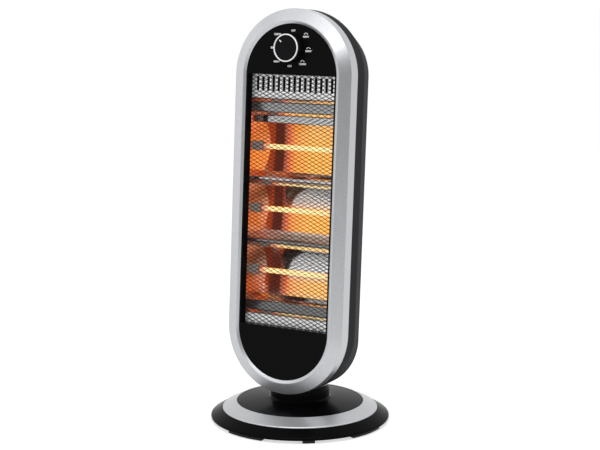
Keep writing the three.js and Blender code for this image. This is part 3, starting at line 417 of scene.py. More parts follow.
def end_plate_painted_glow():
    """The same sheet stood on edge, with the orange light of the tubes that pass through it painted
    on as a warm tint and a glow.
    """
    sheet = Finish("end_plate_painted_glow")
    lines, stain, relief = rolled(sheet, (1, 0.04, 1))
    glow, = banded(sheet, END_PAINTED_GLOW)
    return sheet.surface({
        # Painted light: the warm base colour and the orange emission stand in for the tubes' light
        # on the plates.
        "Base Color": sheet.ramp(stain, (0.35, (0.74, 0.56, 0.42)), (0.65, (0.80, 0.61, 0.46))),
        "Metallic": 1.0, "Roughness": lines * 0.04 + stain * 0.04 + 0.12, "Normal": relief,
        "Emission Color": scaled(sheet, (0.44, 0.055, 0.006), glow), "Emission Strength": 1.0})


def plated_steel():
    steel = Finish("plated_steel")
    lines, stain, relief = rolled(steel)
    return steel.surface({
        "Base Color": steel.ramp(stain, (0.35, WORN_ZINC), (0.65, ZINC)), "Metallic": 1.0,
        "Roughness": lines * 0.1 + stain * 0.1 + 0.28, "Normal": relief})


ZINC = (0.52, 0.53, 0.54)
WORN_ZINC = [channel * 0.93 for channel in ZINC]
POLISHED = reflector_sheet()
PAINTED_TUBE_LIGHT = end_plate_painted_glow()
PLATED = plated_steel()
print("bands on the sheet:", len(SHEET_BANDS), "and on its end plates:", len(END_PAINTED_GLOW))

# %% [markdown]
# ## Glowing quartz, wire and ceramic
# Each tube is milky quartz lit from inside. Seen from in front it is a pale yellow, while
# the sheet behind it mirrors a deep orange, so the half that faces out and the half that
# faces the sheet have their own glow. Both grow redder and then dim past the end of the
# wire. The ceramic caps are grey and mottled in front with a faint painted glow, and behind
# they are painted dark red as painted light from the tubes. A thin ring where each cap
# meets its tube carries a painted red glow.

# %% The two halves of a tube
CAP_PAINTED_RED_GLOW = (0.10, 0.012, 0.004, 1)
CAP_PAINTED_FRONT_GLOW = (0.10, 0.09, 0.075, 1)
CAP_PAINTED_RED_BACK = (0.10, 0.03, 0.02, 1)
WIRE_REACH = 66 * MM
GLOW_AHEAD = (  # share of the wire's reach, colour
    (0.78, (0.75, 0.59, 0.20)), (0.88, (0.62, 0.27, 0.12)), (0.97, (0.40, 0.10, 0.05)))
GLOW_BEHIND = (
    (0.25, (1.0, 0.42, 0.022)), (0.72, (1.0, 0.29, 0.012)), (0.86, (0.72, 0.08, 0.008)),
    (0.98, (0.16, 0.02, 0.008)))


def facing_out(finish, blur, ahead=0):
    """0 behind a plane through the tubes, or so far ahead of them, and 1 before it."""
    depth = from_centre(finish, (0, 0, 1))
    low, high = [(TUBE_DEPTH + ahead + step * blur / 2) * MM for step in (-1, 1)]
    return finish.add("ShaderNodeMapRange", {"interpolation_type": "SMOOTHSTEP"},
                      {"Value": depth, "From Min": low, "From Max": high})


# %% Hot and ceramic finishes


def glowing_quartz():
    quartz = Finish("glowing_quartz")
    where = quartz.add("ShaderNodeTexCoord", output="Object")
    along = quartz.add("ShaderNodeSeparateXYZ", inputs={"Vector": where}, output="X")
    reach = quartz.add("ShaderNodeMath", {"operation": "ABSOLUTE"}, {0: along * (1 / WIRE_REACH)})
    coil = quartz.noise(2.2 * MM, 2, quartz.place(scale=(1, 0.05, 0.05)))
    pale = quartz.ramp(reach, *GLOW_AHEAD)
    deep = quartz.ramp(reach, *GLOW_BEHIND)
    hot = quartz.mix(facing_out(quartz, 1.6, 2.2), deep, pale)
    return quartz.surface({
        "Base Color": (0.8, 0.7, 0.55, 1), "Roughness": 0.12,
        "Emission Color": scaled(quartz, hot, coil * 0.3 + 0.85), "Emission Strength": 1.32})


def ceramic(colour):
    clay = Finish("cap_ceramic_painted_glow")
    mottle = clay.noise(1.6 * MM, 4)
    darker = [channel * 0.6 for channel in colour]
    fired = clay.ramp(mottle, (0.35, darker), (0.65, colour))
    front = facing_out(clay, 4)
    # Painted light: behind the tubes' plane the base colour and emission are painted dark red for
    # the tubes' light, and in front a faint grey emission paints light on the cap.
    return clay.surface({
        "Base Color": clay.mix(front, CAP_PAINTED_RED_BACK, fired),
        "Emission Color": clay.mix(front, CAP_PAINTED_RED_GLOW, CAP_PAINTED_FRONT_GLOW), "Emission Strength": 1.0,
        "Roughness": mottle * 0.1 + 0.7, "Normal": clay.bump(mottle, 0.1 * MM, 0.6)})


def glowing(name, colour, strength):
    hot = Finish(name)
    patch = hot.noise(2 * MM, 2)
    dimmer = [channel * 0.8 for channel in colour]
    return hot.surface({
        "Base Color": (0.1, 0.03, 0.02, 1), "Roughness": 0.6, "Emission Strength": strength,
        "Emission Color": hot.ramp(patch, (0.3, dimmer), (0.7, colour))})


QUARTZ = glowing_quartz()
CERAMIC_PAINTED_GLOW = ceramic((0.36, 0.34, 0.31))
RING_PAINTED_GLOW = glowing("ring_painted_glow", (0.55, 0.07, 0.02), 0.7)
WIRE = glowing("wire_hot", (1.0, 0.45, 0.12), 6.0)
print("materials in all:", len(bpy.data.materials))

# %% [markdown]
# ## From mesh code to a finished piece
# Every piece is drawn in a bmesh and then handed over in the same way: doubles merged,
# faces turned outwards, sharp edges marked so that the flat faces stay flat, and its place
# written into the mesh. A weighted-normal modifier keeps the shading clean beside bevels.
# The pieces of the head are drawn flat, and its matrix stands them up.

# %% Handing over a piece
SHARP = math.radians(32)
MERGE = 0.001 * MM


def settle(bm):
    bmesh.ops.remove_doubles(bm, verts=bm.verts, dist=MERGE)
    bmesh.ops.dissolve_degenerate(bm, edges=bm.edges, dist=MERGE)
    bmesh.ops.recalc_face_normals(bm, faces=bm.faces)


def shade(bm):
    for face in bm.faces:
        face.smooth = True
    for edge in bm.edges:
        edge.smooth = edge.is_manifold and edge.calc_face_angle() < SHARP


def object_from(bm, name, where=UPRIGHT):
    shade(bm)
    bmesh.ops.transform(bm, matrix=where, verts=bm.verts)
    return linked(bm, name)


def hand_over(made, finish, body, replaced=()):
    made.data.materials.clear()
    made.data.materials.append(finish)
    steady = made.modifiers.new("steady_normals", "WEIGHTED_NORMAL")
    steady.keep_sharp = True
    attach(made, body)
    if replaced:
        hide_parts(*replaced)
    print(f"{made.name}: {len(made.data.polygons)} faces, on the {body}")


def piece(bm, name, finish, body, replaced=(), where=UPRIGHT):
    settle(bm)
    hand_over(object_from(bm, name, where), finish, body, replaced)


# %% [markdown]
# ## Turned and stretched shapes
# Most parts of this heater are turned: a section in millimetres is spun about an axis. The
# head is an oval of two half circles with straight sides. It is spun as a round dish, and
# then its upper and lower halves are pulled apart, which leaves the straight sides between.

# %% Spinning, rounding and pulling apart
TURN_STEPS = 96


def turned(section, steps=TURN_STEPS, closed=True):
    """Spins a section, given as pairs of radius and height."""
    bm = bmesh.new()
    start = Matrix.Rotation(math.pi / steps, 3, "Z")
    points = [bm.verts.new(start @ Vector((radius * MM, 0, height * MM)))
              for radius, height in section]
    pairs = list(zip(points, points[1:] + points[:1]))
    edges = [bm.edges.new(pair) for pair in (pairs if closed else pairs[:-1])]
    bmesh.ops.spin(bm, geom=points + edges, cent=(0, 0, 0), axis=(0, 0, 1), dvec=(0, 0, 0),
                   angle=TURN, steps=steps, use_merge=True)
    settle(bm)
    return bm


def round_off(bm, size, sharper=math.radians(24), segments=3, chosen=None):
    edges = [edge for edge in bm.edges if edge.is_manifold and edge.calc_face_angle() > sharper
             and (chosen is None or chosen(edge))]
    bmesh.ops.bevel(bm, geom=edges, offset=size * MM, offset_type="OFFSET", affect="EDGES",
                    segments=segments, profile=0.5, material=-1, clamp_overlap=True)


HEAD_HALF_WIDTH = 101.75
HEAD_HALF_HEIGHT = 295
STRAIGHT = HEAD_HALF_HEIGHT - HEAD_HALF_WIDTH


def pull_apart(bm, up=STRAIGHT, down=STRAIGHT, share=lambda depth: 0):
    """Parts the halves by the straight sides, or by up and down as the share nears 1."""
    for vert in bm.verts:
        above = vert.co.y > 0
        pull = STRAIGHT + ((up if above else down) - STRAIGHT) * share(vert.co.z / MM)
        vert.co.y += (pull if above else -pull) * MM


def oval(section, closed=True):
    """Draws a section, given as pairs of inset and depth, round the head's outline."""
    bm = turned([(HEAD_HALF_WIDTH - inset, depth) for inset, depth in section], closed=closed)
    pull_apart(bm)
    return bm


print("straight sides:", 2 * STRAIGHT, "mm")


# %% [markdown]
# ## The silver frame
# The frame is one moulding: a flat side band, a broad chamfer up to a rounded crest and a
# short slope down to the panel. Its section is spun and pulled apart, and the sharp rings
# are bevelled so that each edge catches a line of light as the painted one does.

# %% The frame round the face
FRAME_SECTION = ((0, 16.5), (0, 35), (18.4, 43.4), (23, 41), (23, 39.2), (18.4, 41),
                 (2.6, 33.8), (2.2, 16.5))
FRAME_ROUNDING = 0.8
ROUNDED_FROM = 34.5
frame_bm = oval(FRAME_SECTION)
round_off(frame_bm, FRAME_ROUNDING,
          chosen=lambda edge: all(vert.co.z > ROUNDED_FROM * MM for vert in edge.verts))
piece(frame_bm, "bezel_smooth", SILVER, "head", ["bezel"], HEAD)

# %% [markdown]
# ## The rear shell
# Behind the frame the shell runs straight back, then slopes in to a smaller, slightly
# crowned back. The halves are pulled further apart towards the back at the bottom than at
# the top, which gives the slope that the side view shows. The vents, the screw pockets and
# the hole for the neck are cut with a Boolean, because they go through a wall.

# %% Walls and cuts


def apply_modifiers(made):
    graph = bpy.context.evaluated_depsgraph_get()
    finished = bpy.data.meshes.new_from_object(made.evaluated_get(graph))
    made.modifiers.clear()
    made.data = finished


def give_wall(made, thickness, even=False):
    wall = made.modifiers.new("wall", "SOLIDIFY")
    wall.thickness = thickness * MM
    wall.offset = -1
    wall.use_even_offset = even
    apply_modifiers(made)


def cut_with(made, tool_bm, where=UPRIGHT):
    settle(tool_bm)
    tool = object_from(tool_bm, "cutter", where)
    boolean = made.modifiers.new("cut", "BOOLEAN")
    boolean.operation = "DIFFERENCE"
    boolean.object = tool
    boolean.solver = "EXACT"
    apply_modifiers(made)
    bpy.data.objects.remove(tool)


def set_up(made, where=HEAD):
    """Puts a cut piece in its place and marks its sharp edges again."""
    made.data.transform(where)
    bm = bmesh.new()
    bm.from_mesh(made.data)
    bmesh.ops.remove_doubles(bm, verts=bm.verts, dist=MERGE)
    shade(bm)
    bm.to_mesh(made.data)
    bm.free()


def box_at(bm, centre, size):
    bmesh.ops.create_cube(bm, size=MM, matrix=Matrix.Translation(Vector(centre) * MM)
                          @ Matrix.Diagonal((*size, 1)))


def rod_at(bm, centre, radius, length, segments=32, turn=UPRIGHT):
    bmesh.ops.create_cone(bm, cap_ends=True, segments=segments, radius1=radius * MM,
                          radius2=radius * MM, depth=length * MM,
                          matrix=Matrix.Translation(Vector(centre) * MM) @ turn)


# %% The shell's skin
SHELL_FRONT = 16.2
SHELL_SHOULDER = -5
SHELL_BACK = -60
SHELL_WALL = 2.6
SHELL_ROUNDING = 2.4
BACK_HALF_WIDTH = 79.8
BACK_TOP = HEAD_HALF_HEIGHT - 21 - BACK_HALF_WIDTH
BACK_BOTTOM = HEAD_HALF_HEIGHT - 1 - BACK_HALF_WIDTH
CROWN = 4.5
CROWN_INSET = 10


def back_share(depth):
    return min(max((SHELL_SHOULDER - depth) / (SHELL_SHOULDER - SHELL_BACK), 0), 1)


shell_bm = turned([(HEAD_HALF_WIDTH, SHELL_FRONT), (HEAD_HALF_WIDTH, SHELL_SHOULDER),
                   (BACK_HALF_WIDTH, SHELL_BACK),
                   (BACK_HALF_WIDTH - CROWN_INSET, SHELL_BACK - CROWN)], closed=False)
pull_apart(shell_bm, BACK_TOP, BACK_BOTTOM, back_share)
back_ring = [edge for edge in shell_bm.edges if edge.is_boundary and edge.verts[0].co.z < 0]
bmesh.ops.contextual_create(shell_bm, geom=back_ring)
round_off(shell_bm, SHELL_ROUNDING, sharper=math.radians(14), segments=4,
          chosen=lambda edge: all(vert.co.z < (SHELL_SHOULDER + 1) * MM for vert in edge.verts))
settle(shell_bm)
shell = object_from(shell_bm, "rear_shell_smooth")
give_wall(shell, SHELL_WALL)
print("shell skin:", len(shell.data.polygons), "faces")

# %% Vents, screw pockets and the hole for the neck
SIDES = [(side, end) for side in (1, -1) for end in (1, -1)]
BOSS_X = 50
BOSS_Y = 231
POCKET_RADIUS = 3.7
POCKET_DEPTH = 14
VENT_BANDS = (150, -100)
VENT_COUNT = 8
VENT_PITCH = 11
VENT_SIZE = (88, 4.2, 14)
NECK_HOLE_RADIUS = 30.3
NECK_HOLE_TOP = 96
shell_tool = bmesh.new()
for band_y in VENT_BANDS:
    for step in range(VENT_COUNT):
        box_at(shell_tool, (0, band_y - step * VENT_PITCH, SHELL_BACK - CROWN), VENT_SIZE)
for side, end in SIDES:
    rod_at(shell_tool, (side * BOSS_X, end * BOSS_Y, SHELL_BACK), POCKET_RADIUS, POCKET_DEPTH)
cut_with(shell, shell_tool)
neck_hole = bmesh.new()
rod_at(neck_hole, (0, 0, NECK_HOLE_TOP / 2), NECK_HOLE_RADIUS, NECK_HOLE_TOP, 96)
cut_with(shell, neck_hole, HEAD.inverted())
set_up(shell)
hand_over(shell, SHELL_GREY, "head", ["rear_shell"])

# %% [markdown]
# ## The black front panel
# The panel fills the frame, with one tall window. Its face is the area between an oval
# loop and a rectangle, which a triangle fill closes, and both loops are then extruded
# backwards: the outer one into the frame, the inner one as the window's slanted sides.

# %% The panel
PANEL_FACE = 40.9
PANEL_BACK = 30.3
PANEL_RIM = 3
PANEL_INSET = 22.7
PANEL_WALL = 0.5
WINDOW_TOP = 195
WINDOW_BOTTOM = -191
WINDOW_HALF_WIDTH = 76.2
WINDOW_BACK_HALF_WIDTH = 74.9
CLOSE_ENOUGH = 0.01 * MM


def new_verts(made):
    return [item for item in made["geom"] if isinstance(item, bmesh.types.BMVert)]


def face_forward(bm):
    """Turns an open sheet round if its largest face looks back into the head."""
    if max(bm.faces, key=lambda face: face.calc_area()).normal.z < 0:
        bmesh.ops.reverse_faces(bm, faces=bm.faces)


panel_bm = oval([(PANEL_INSET, PANEL_FACE), (PANEL_INSET, PANEL_BACK + PANEL_RIM)], closed=False)
face_ring = [edge for edge in panel_bm.edges
             if all(abs(vert.co.z - PANEL_FACE * MM) < CLOSE_ENOUGH for vert in edge.verts)]
corners = ((-1, WINDOW_BOTTOM), (1, WINDOW_BOTTOM), (1, WINDOW_TOP), (-1, WINDOW_TOP))
window = [panel_bm.verts.new(Vector((side * WINDOW_HALF_WIDTH, y, PANEL_FACE)) * MM)
          for side, y in corners]
window_ring = [panel_bm.edges.new(pair) for pair in zip(window, window[1:] + window[:1])]
bmesh.ops.triangle_fill(panel_bm, use_beauty=True, edges=face_ring + window_ring)
for vert in new_verts(bmesh.ops.extrude_edge_only(panel_bm, edges=window_ring)):
    vert.co.z = PANEL_BACK * MM
    vert.co.x *= WINDOW_BACK_HALF_WIDTH / WINDOW_HALF_WIDTH
settle(panel_bm)
face_forward(panel_bm)
panel = object_from(panel_bm, "front_panel_smooth")
give_wall(panel, PANEL_WALL)
set_up(panel)
hand_over(panel, PANEL_BLACK, "head", ["front_panel"])

# %% [markdown]
# ## The guard of expanded metal
# Expanded metal is a sheet that is slit and pulled open into rows of long diamonds. The
# pattern is a grid turned by 45 degrees and stretched, trimmed to the window by four
# planes. Each cell is inset by half a strand, and the middles are taken out. What stays is
# one lattice with a plain border, which then gets its thickness. The photograph shows
# cells about twice as wide as they are high.

# %% The trimmed grid
CELL_WIDTH = 12.3
CELL_HEIGHT = 6.05
STRAND = 0.66
GUARD_THICKNESS = 1.2
GUARD_BORDER = 2.6
GUARD_OVERLAP = 0.3
GUARD_FRONT = PANEL_BACK - GUARD_OVERLAP
GUARD_BACK = GUARD_FRONT - GUARD_THICKNESS
SPARE_CELLS = 4
SLIVER = 0.05 * MM
guard_top = WINDOW_TOP + GUARD_OVERLAP
guard_bottom = WINDOW_BOTTOM - GUARD_OVERLAP
guard_half_width = WINDOW_BACK_HALF_WIDTH + GUARD_OVERLAP
cells = SPARE_CELLS + math.ceil(
    (guard_top - guard_bottom) / CELL_HEIGHT + 2 * guard_half_width / CELL_WIDTH)
guard_bm = bmesh.new()
bmesh.ops.create_grid(guard_bm, x_segments=cells, y_segments=cells, size=cells / 2, matrix=(
    Matrix.Translation((0, (guard_top + guard_bottom) / 2 * MM, 0))
    @ Matrix.Diagonal((CELL_WIDTH / math.sqrt(2) * MM, CELL_HEIGHT / math.sqrt(2) * MM, 1, 1))
    @ Matrix.Rotation(math.pi / 4, 4, "Z")))
for side, limit in (((1, 0, 0), guard_half_width), ((-1, 0, 0), guard_half_width),
                    ((0, 1, 0), guard_top), ((0, -1, 0), -guard_bottom)):
    bmesh.ops.bisect_plane(guard_bm, geom=guard_bm.verts[:] + guard_bm.edges[:] + guard_bm.faces[:],
                           plane_co=Vector(side) * limit * MM, plane_no=side, clear_outer=True)
bmesh.ops.dissolve_degenerate(guard_bm, edges=guard_bm.edges, dist=SLIVER)
print("grid:", cells, "by", cells, "cells, trimmed to", len(guard_bm.faces))

# %% Border and strands
cell_faces = guard_bm.faces[:]
border_edges = [edge for edge in guard_bm.edges if edge.is_boundary]
for vert in new_verts(bmesh.ops.extrude_edge_only(guard_bm, edges=border_edges)):
    for axis, low, high in ((0, -guard_half_width, guard_half_width), (1, guard_bottom, guard_top)):
        if abs(vert.co[axis] - low * MM) < CLOSE_ENOUGH:
            vert.co[axis] -= GUARD_BORDER * MM
        if abs(vert.co[axis] - high * MM) < CLOSE_ENOUGH:
            vert.co[axis] += GUARD_BORDER * MM
bmesh.ops.inset_individual(guard_bm, faces=cell_faces, thickness=STRAND / 2 * MM,
                           use_even_offset=True)
bmesh.ops.delete(guard_bm, geom=cell_faces, context="FACES")
bmesh.ops.translate(guard_bm, vec=(0, 0, GUARD_FRONT * MM), verts=guard_bm.verts)
settle(guard_bm)
face_forward(guard_bm)
guard = object_from(guard_bm, "guard_mesh_fine", HEAD)
give_wall(guard, GUARD_THICKNESS)
set_up(guard, UPRIGHT)
hand_over(guard, MESH_BLACK, "head", ["guard_mesh"])

# %% [markdown]
# ## The reflector
# One polished sheet runs down the window: a slotted plate, a small shelf, three deep
# troughs with flat ridges between them, and a plain plate at the bottom. Each trough is a
# bowl between two bevels. Its curve is a parabola whose focus lies near the tube, a little
# tighter below the middle than above it, so the mirrored glow fills most of it as in the
# photograph. The folds are drawn as small curves, because each catches a line of light.

# %% Sizes of the sheet
JOINED = {"upper": 1, "middle": 0, "lower": -1}
troughs = {place: TROUGH_MIDDLE + step * TROUGH_PITCH for place, step in JOINED.items()}
TROUGH_HALF_HEIGHT = 46.5
TROUGH_DEPTH = 51
BOWL_TOP = 36.6
BOWL_BOTTOM = 40.6
BOWL_LEAN = 0.5
FOCUS_ABOVE = 31
FOCUS_BELOW = 28.5
BOWL_SHIFT = 0.4
BEVEL_ABOVE = 10.4
BEVEL_BELOW = 32.7
BOWL_STEPS = 40
RIDGE_FACE = 20
RIDGE_TOP = 153.5
RIDGE_BOTTOM = -170
END_RIDGE_FALL = 7
FOLD_REACH = 2.1
TOP_STEP = ((5.1, 8.2), (-1.5, 0))  # height from the ridge, depth from its face
BOTTOM_STEP = ((-1, 0), (-6, 8.2))
SHELF = ((54.5, -2.5), (48, -10.5), (37.1, -11))  # height from the trough's middle
PLATE_TOP = 199.5
PLATE_BOTTOM = -195.5
FLANGE = 5
SHEET = 0.8
SHEET_FRONT = GUARD_BACK - 0.4
END_BACK = 75
END_FRONT = 88
END_GAP = 0.3
print("middles of the troughs:", troughs)

# %% The sheet's line


def bowl(centre):
    line = []
    for step in range(BOWL_STEPS + 1):
        up = BOWL_TOP - (BOWL_TOP + BOWL_BOTTOM) * step / BOWL_STEPS
        focus = FOCUS_ABOVE if up > -BOWL_SHIFT else FOCUS_BELOW
        line.append((centre + up, RIDGE_FACE - TROUGH_DEPTH + (up + BOWL_SHIFT) ** 2 / (4 * focus)))
    return line


def sheet_line():
    line = [(PLATE_TOP + FLANGE, SHEET_FRONT), (PLATE_TOP, SHEET_FRONT)]
    line += [(RIDGE_TOP + up, RIDGE_FACE + out) for up, out in TOP_STEP]
    for place, centre in troughs.items():
        if place == "upper":
            line += [(centre + up, RIDGE_FACE + out) for up, out in SHELF]
        else:
            line += [(centre + TROUGH_HALF_HEIGHT, RIDGE_FACE),
                     (centre + BOWL_TOP + BOWL_LEAN, RIDGE_FACE - BEVEL_ABOVE)]
        line += bowl(centre) + [(centre - BOWL_BOTTOM - BOWL_LEAN, RIDGE_FACE - BEVEL_BELOW),
                                (centre - TROUGH_HALF_HEIGHT,
                                 RIDGE_FACE - (END_RIDGE_FALL if place == "lower" else 0))]
    line += [(RIDGE_BOTTOM + up, RIDGE_FACE + out) for up, out in BOTTOM_STEP]
    return line + [(PLATE_BOTTOM, SHEET_FRONT), (PLATE_BOTTOM - FLANGE, SHEET_FRONT)]


def rounded(line, steps=6, sharper=math.radians(14), nearly_half=0.45):
    """The line with each sharp corner drawn as a small curve."""
    line = [Vector(point) for point in line]
    curved = [line[0]]
    for before, corner, after in zip(line, line[1:], line[2:]):
        back, on = before - corner, after - corner
        if on.angle(-back) < sharper:
            curved.append(corner)
            continue
        start, end = [corner + way.normalized() * min(FOLD_REACH, way.length * nearly_half)
                      for way in (back, on)]
        for step in range(steps + 1):
            share = step / steps
            curved.append(start.lerp(corner, share).lerp(corner.lerp(end, share), share))
    return curved + [line[-1]]


def end_half_width(depth):
    return END_FRONT - (END_FRONT - END_BACK) / TROUGH_DEPTH * (RIDGE_FACE - depth)


sheet_points = rounded(sheet_line())
print("points down the sheet:", len(sheet_points))

# %% The sheet, with its ends drawn in towards the back
sheet_bm = bmesh.new()
line_points = [sheet_bm.verts.new((-MM, y * MM, depth * MM)) for y, depth in sheet_points]
line_edges = [sheet_bm.edges.new(pair) for pair in zip(line_points, line_points[1:])]
swept = bmesh.ops.extrude_edge_only(sheet_bm, edges=line_edges)
bmesh.ops.translate(sheet_bm, vec=(2 * MM, 0, 0), verts=new_verts(swept))
for vert in sheet_bm.verts:  # the plates and the ridges keep the full width
    depth = vert.co.z / MM
    reach = END_FRONT if depth > RIDGE_FACE - 1 else end_half_width(depth) - END_GAP
    vert.co.x = math.copysign(reach * MM, vert.co.x)
bmesh.ops.recalc_face_normals(sheet_bm, faces=sheet_bm.faces)
face_forward(sheet_bm)
sheet = object_from(sheet_bm, "reflector_polished")
give_wall(sheet, SHEET, even=True)
print("sheet:", len(sheet.data.polygons), "faces")

# %% The slots
SLOT_COUNT = 15
SLOT_PITCH = 9.286
SLOT_WIDTH = 4.7
SLOT_TOP = 192
SLOT_BOTTOM = 169
SLOT_MIDDLE = (SLOT_TOP + SLOT_BOTTOM) / 2
SLOT_OVERRUN = 4
slot_depth = SHEET_FRONT - RIDGE_FACE + 2 * SLOT_OVERRUN
stretch = (SLOT_TOP - SLOT_BOTTOM - SLOT_WIDTH) / 2 * MM
slot_tool = bmesh.new()
for step in range(SLOT_COUNT):
    x = (step - (SLOT_COUNT - 1) / 2) * SLOT_PITCH
    rod_at(slot_tool, (x, SLOT_MIDDLE, RIDGE_FACE + slot_depth / 2 - SLOT_OVERRUN), SLOT_WIDTH / 2,
           slot_depth, 16)
for vert in slot_tool.verts:  # a point at the very middle goes up with the upper half
    vert.co.y += math.copysign(stretch, vert.co.y - SLOT_MIDDLE * MM + 0.1 * MERGE)
cut_with(sheet, slot_tool)
set_up(sheet)
hand_over(sheet, POLISHED, "head", ["reflector"])

# %% [markdown]
# ## The reflector's end plates
# A flat plate closes each end of the troughs. It slants outwards towards the front, as the
# ends of the sheet do, and has a round hole for the cap of each tube. The plates differ
# only in their side, so one loop makes both.

# %% The slanted end plates
HANDS = {"left": -1, "right": 1}
ALONG_X = Matrix.Rotation(math.pi / 2, 4, "Y")
CAP_HOLE_RADIUS = 7.9
CAP_HOLE_MIDDLE = 85
CAP_HOLE_LENGTH = 40
plate_front = RIDGE_FACE - SHEET - END_GAP
plate_rear = plate_front - TROUGH_DEPTH
low, high = RIDGE_BOTTOM + END_GAP, RIDGE_TOP - END_GAP
outline = ((low, plate_rear), (low, plate_front), (high, plate_front), (high, plate_rear))
for hand, side in HANDS.items():
    plate_bm = bmesh.new()
    corners = [plate_bm.verts.new(Vector((side * end_half_width(depth), y, depth)) * MM)
               for y, depth in outline]
    plate_bm.faces.new(corners[::side])  # wound so that either plate looks at the tubes
    plate = object_from(plate_bm, f"reflector_end_{hand}_polished")
    give_wall(plate, SHEET)
    holes = bmesh.new()
    for y in troughs.values():
        rod_at(holes, (side * CAP_HOLE_MIDDLE, y, TUBE_DEPTH), CAP_HOLE_RADIUS,
               CAP_HOLE_LENGTH, 40, ALONG_X)
    cut_with(plate, holes)
    set_up(plate)
    hand_over(plate, PAINTED_TUBE_LIGHT, "head", [f"reflector_end_{hand}"])

# %% [markdown]
# ## Tubes and their end caps
# A quartz tube is a plain pipe, held at each end in a ceramic cap. A thin ring at the mouth
# of each cap carries a painted red glow for the light that gathers there. All of them are
# turned about the tube's own line, so they are spun upright and laid over on their side.

# %% Quartz tubes and ceramic caps: (radius, distance from the head's middle) in millimetres
TUBE_SECTION = [(3.25, -82), (4.25, -82), (4.25, 82), (3.25, 82)]
CAP_SECTION = [(4.55, 66.6), (6.3, 66.6), (6.3, 69), (7.6, 69), (7.6, 94), (1.2, 94), (1.2, 84),
               (4.55, 84)]
CAP_RING_SECTION = [(4.55, 65.4), (6.2, 65.4), (6.2, 66.5), (4.55, 66.5)]
CAP_ROUNDING = 0.5
CAP_RING_ROUNDING = 0.25


def laid_over(y, side=1):
    return (HEAD @ Matrix.Translation((0, y * MM, TUBE_DEPTH * MM))
            @ Matrix.Rotation(side * math.pi / 2, 4, "Y"))


for place, y in troughs.items():
    piece(turned(TUBE_SECTION, 32), f"quartz_tube_{place}_glowing", QUARTZ, "head",
          [f"quartz_tube_{place}"], laid_over(y))
    for hand, side in HANDS.items():
        cap_bm = turned(CAP_SECTION, 48)
        round_off(cap_bm, CAP_ROUNDING)
        piece(cap_bm, f"end_cap_{place}_{hand}_ceramic", CERAMIC_PAINTED_GLOW, "head",
              [f"end_cap_{place}_{hand}"], laid_over(y, side))
        # The ring's red is a painted glow, not a lamp.
        ring_bm = turned(CAP_RING_SECTION, 48)
        round_off(ring_bm, CAP_RING_ROUNDING)
        piece(ring_bm, f"painted_glow_ring_{place}_{hand}", RING_PAINTED_GLOW, "head", (),
              laid_over(y, side))

# %% [markdown]
# ## The knob
# The knob is a short drum with fine ribs round its side, a dark face, a thin white ring at
# its rim and a small white pointer. The drum is spun, and the ribs are made by drawing
# every second pair of its upright lines in by half a millimetre. The drum's side stands
# just behind the ring, so the white is only a narrow line round the edge.

# %% Knob, ring and pointer: (radius, distance out of the head) in millimetres
DIAL_HEIGHT = 235.3
KNOB_SECTION = [(0, 53), (4, 53), (4, 43), (20, 42), (20.6, 42.6), (20.6, 57), (18.8, 57),
                (18.8, 57.6), (18.4, 58), (0, 58)]
KNOB_RING_SECTION = [(19.1, 57.3), (20.9, 57.3), (20.9, 59.4), (19.1, 59.4)]
KNOB_RING_ROUNDING = 0.5
KNOB_STEPS = 144
RIB_FOOT = 20.3
RIB_DEPTH = 0.45
POINTER_MIDDLE = (0, 14.1, 57.65)
POINTER_SIZE = (1.8, 4.2, 1.2)
POINTER_ROUNDING = 0.3
POINTER_TURN = Matrix.Rotation(math.radians(45), 4, "Z")
AT_DIAL = HEAD @ Matrix.Translation((0, DIAL_HEIGHT * MM, 0))
knob_bm = turned(KNOB_SECTION, KNOB_STEPS, closed=False)
for vert in knob_bm.verts:
    spoke = vert.co.xy.length
    turn = math.atan2(vert.co.y, vert.co.x) * KNOB_STEPS / TURN
    if spoke > RIB_FOOT * MM and math.floor(turn) % 4 < 2:
        vert.co.xy *= 1 - RIB_DEPTH * MM / spoke
piece(knob_bm, "knob_ribbed", KNOB_BLACK, "knob", ["knob"], AT_DIAL)
knob_ring_bm = turned(KNOB_RING_SECTION)
round_off(knob_ring_bm, KNOB_RING_ROUNDING, segments=4)
piece(knob_ring_bm, "knob_ring_white", PRINT_WHITE, "knob", ["knob_ring"], AT_DIAL)
pointer_bm = bmesh.new()
box_at(pointer_bm, POINTER_MIDDLE, POINTER_SIZE)
round_off(pointer_bm, POINTER_ROUNDING)
piece(pointer_bm, "knob_pointer_white", PRINT_WHITE, "knob", ["knob_pointer"],
      AT_DIAL @ POINTER_TURN)

# %% [markdown]
# ## The printed dial
# Round the knob the panel carries small white marks: OFF above and below, the three heat
# settings on the left, and on the right the same settings with a small swing sign. Text is
# made a mesh first, and all the marks become one thin piece on the panel.

# %% The words
PRINT_HEIGHT = 0.12
LETTER_SIZE = 4.2
LETTER_WEIGHT = 0.1
WORDS = (("OFF", 2.1, 261.3), ("OFF", -2.5, 208.1), ("400W", -25.7, 214.5),
         ("800W", -31.3, 235.2), ("1200W", -25.3, 255.5), ("400W", 24.1, 252.5),
         ("800W", 29.4, 231.3), ("1200W", 19.7, 211.8))
dial_bm = bmesh.new()
for words, x, y in WORDS:
    curve = bpy.data.curves.new("mark", "FONT")
    curve.body = words
    curve.size = LETTER_SIZE * MM
    curve.align_x = "CENTER"
    curve.align_y = "CENTER"
    curve.extrude = PRINT_HEIGHT / 2 * MM
    curve.resolution_u = 3
    curve.offset = LETTER_WEIGHT * MM
    mark = bpy.data.objects.new("mark", curve)
    bpy.context.scene.collection.objects.link(mark)
    graph = bpy.context.evaluated_depsgraph_get()
    flat = bpy.data.meshes.new_from_object(mark.evaluated_get(graph))
    flat.transform(Matrix.Translation(Vector((x, y, PANEL_FACE + PRINT_HEIGHT / 2)) * MM))
    dial_bm.from_mesh(flat)
    bpy.data.objects.remove(mark)
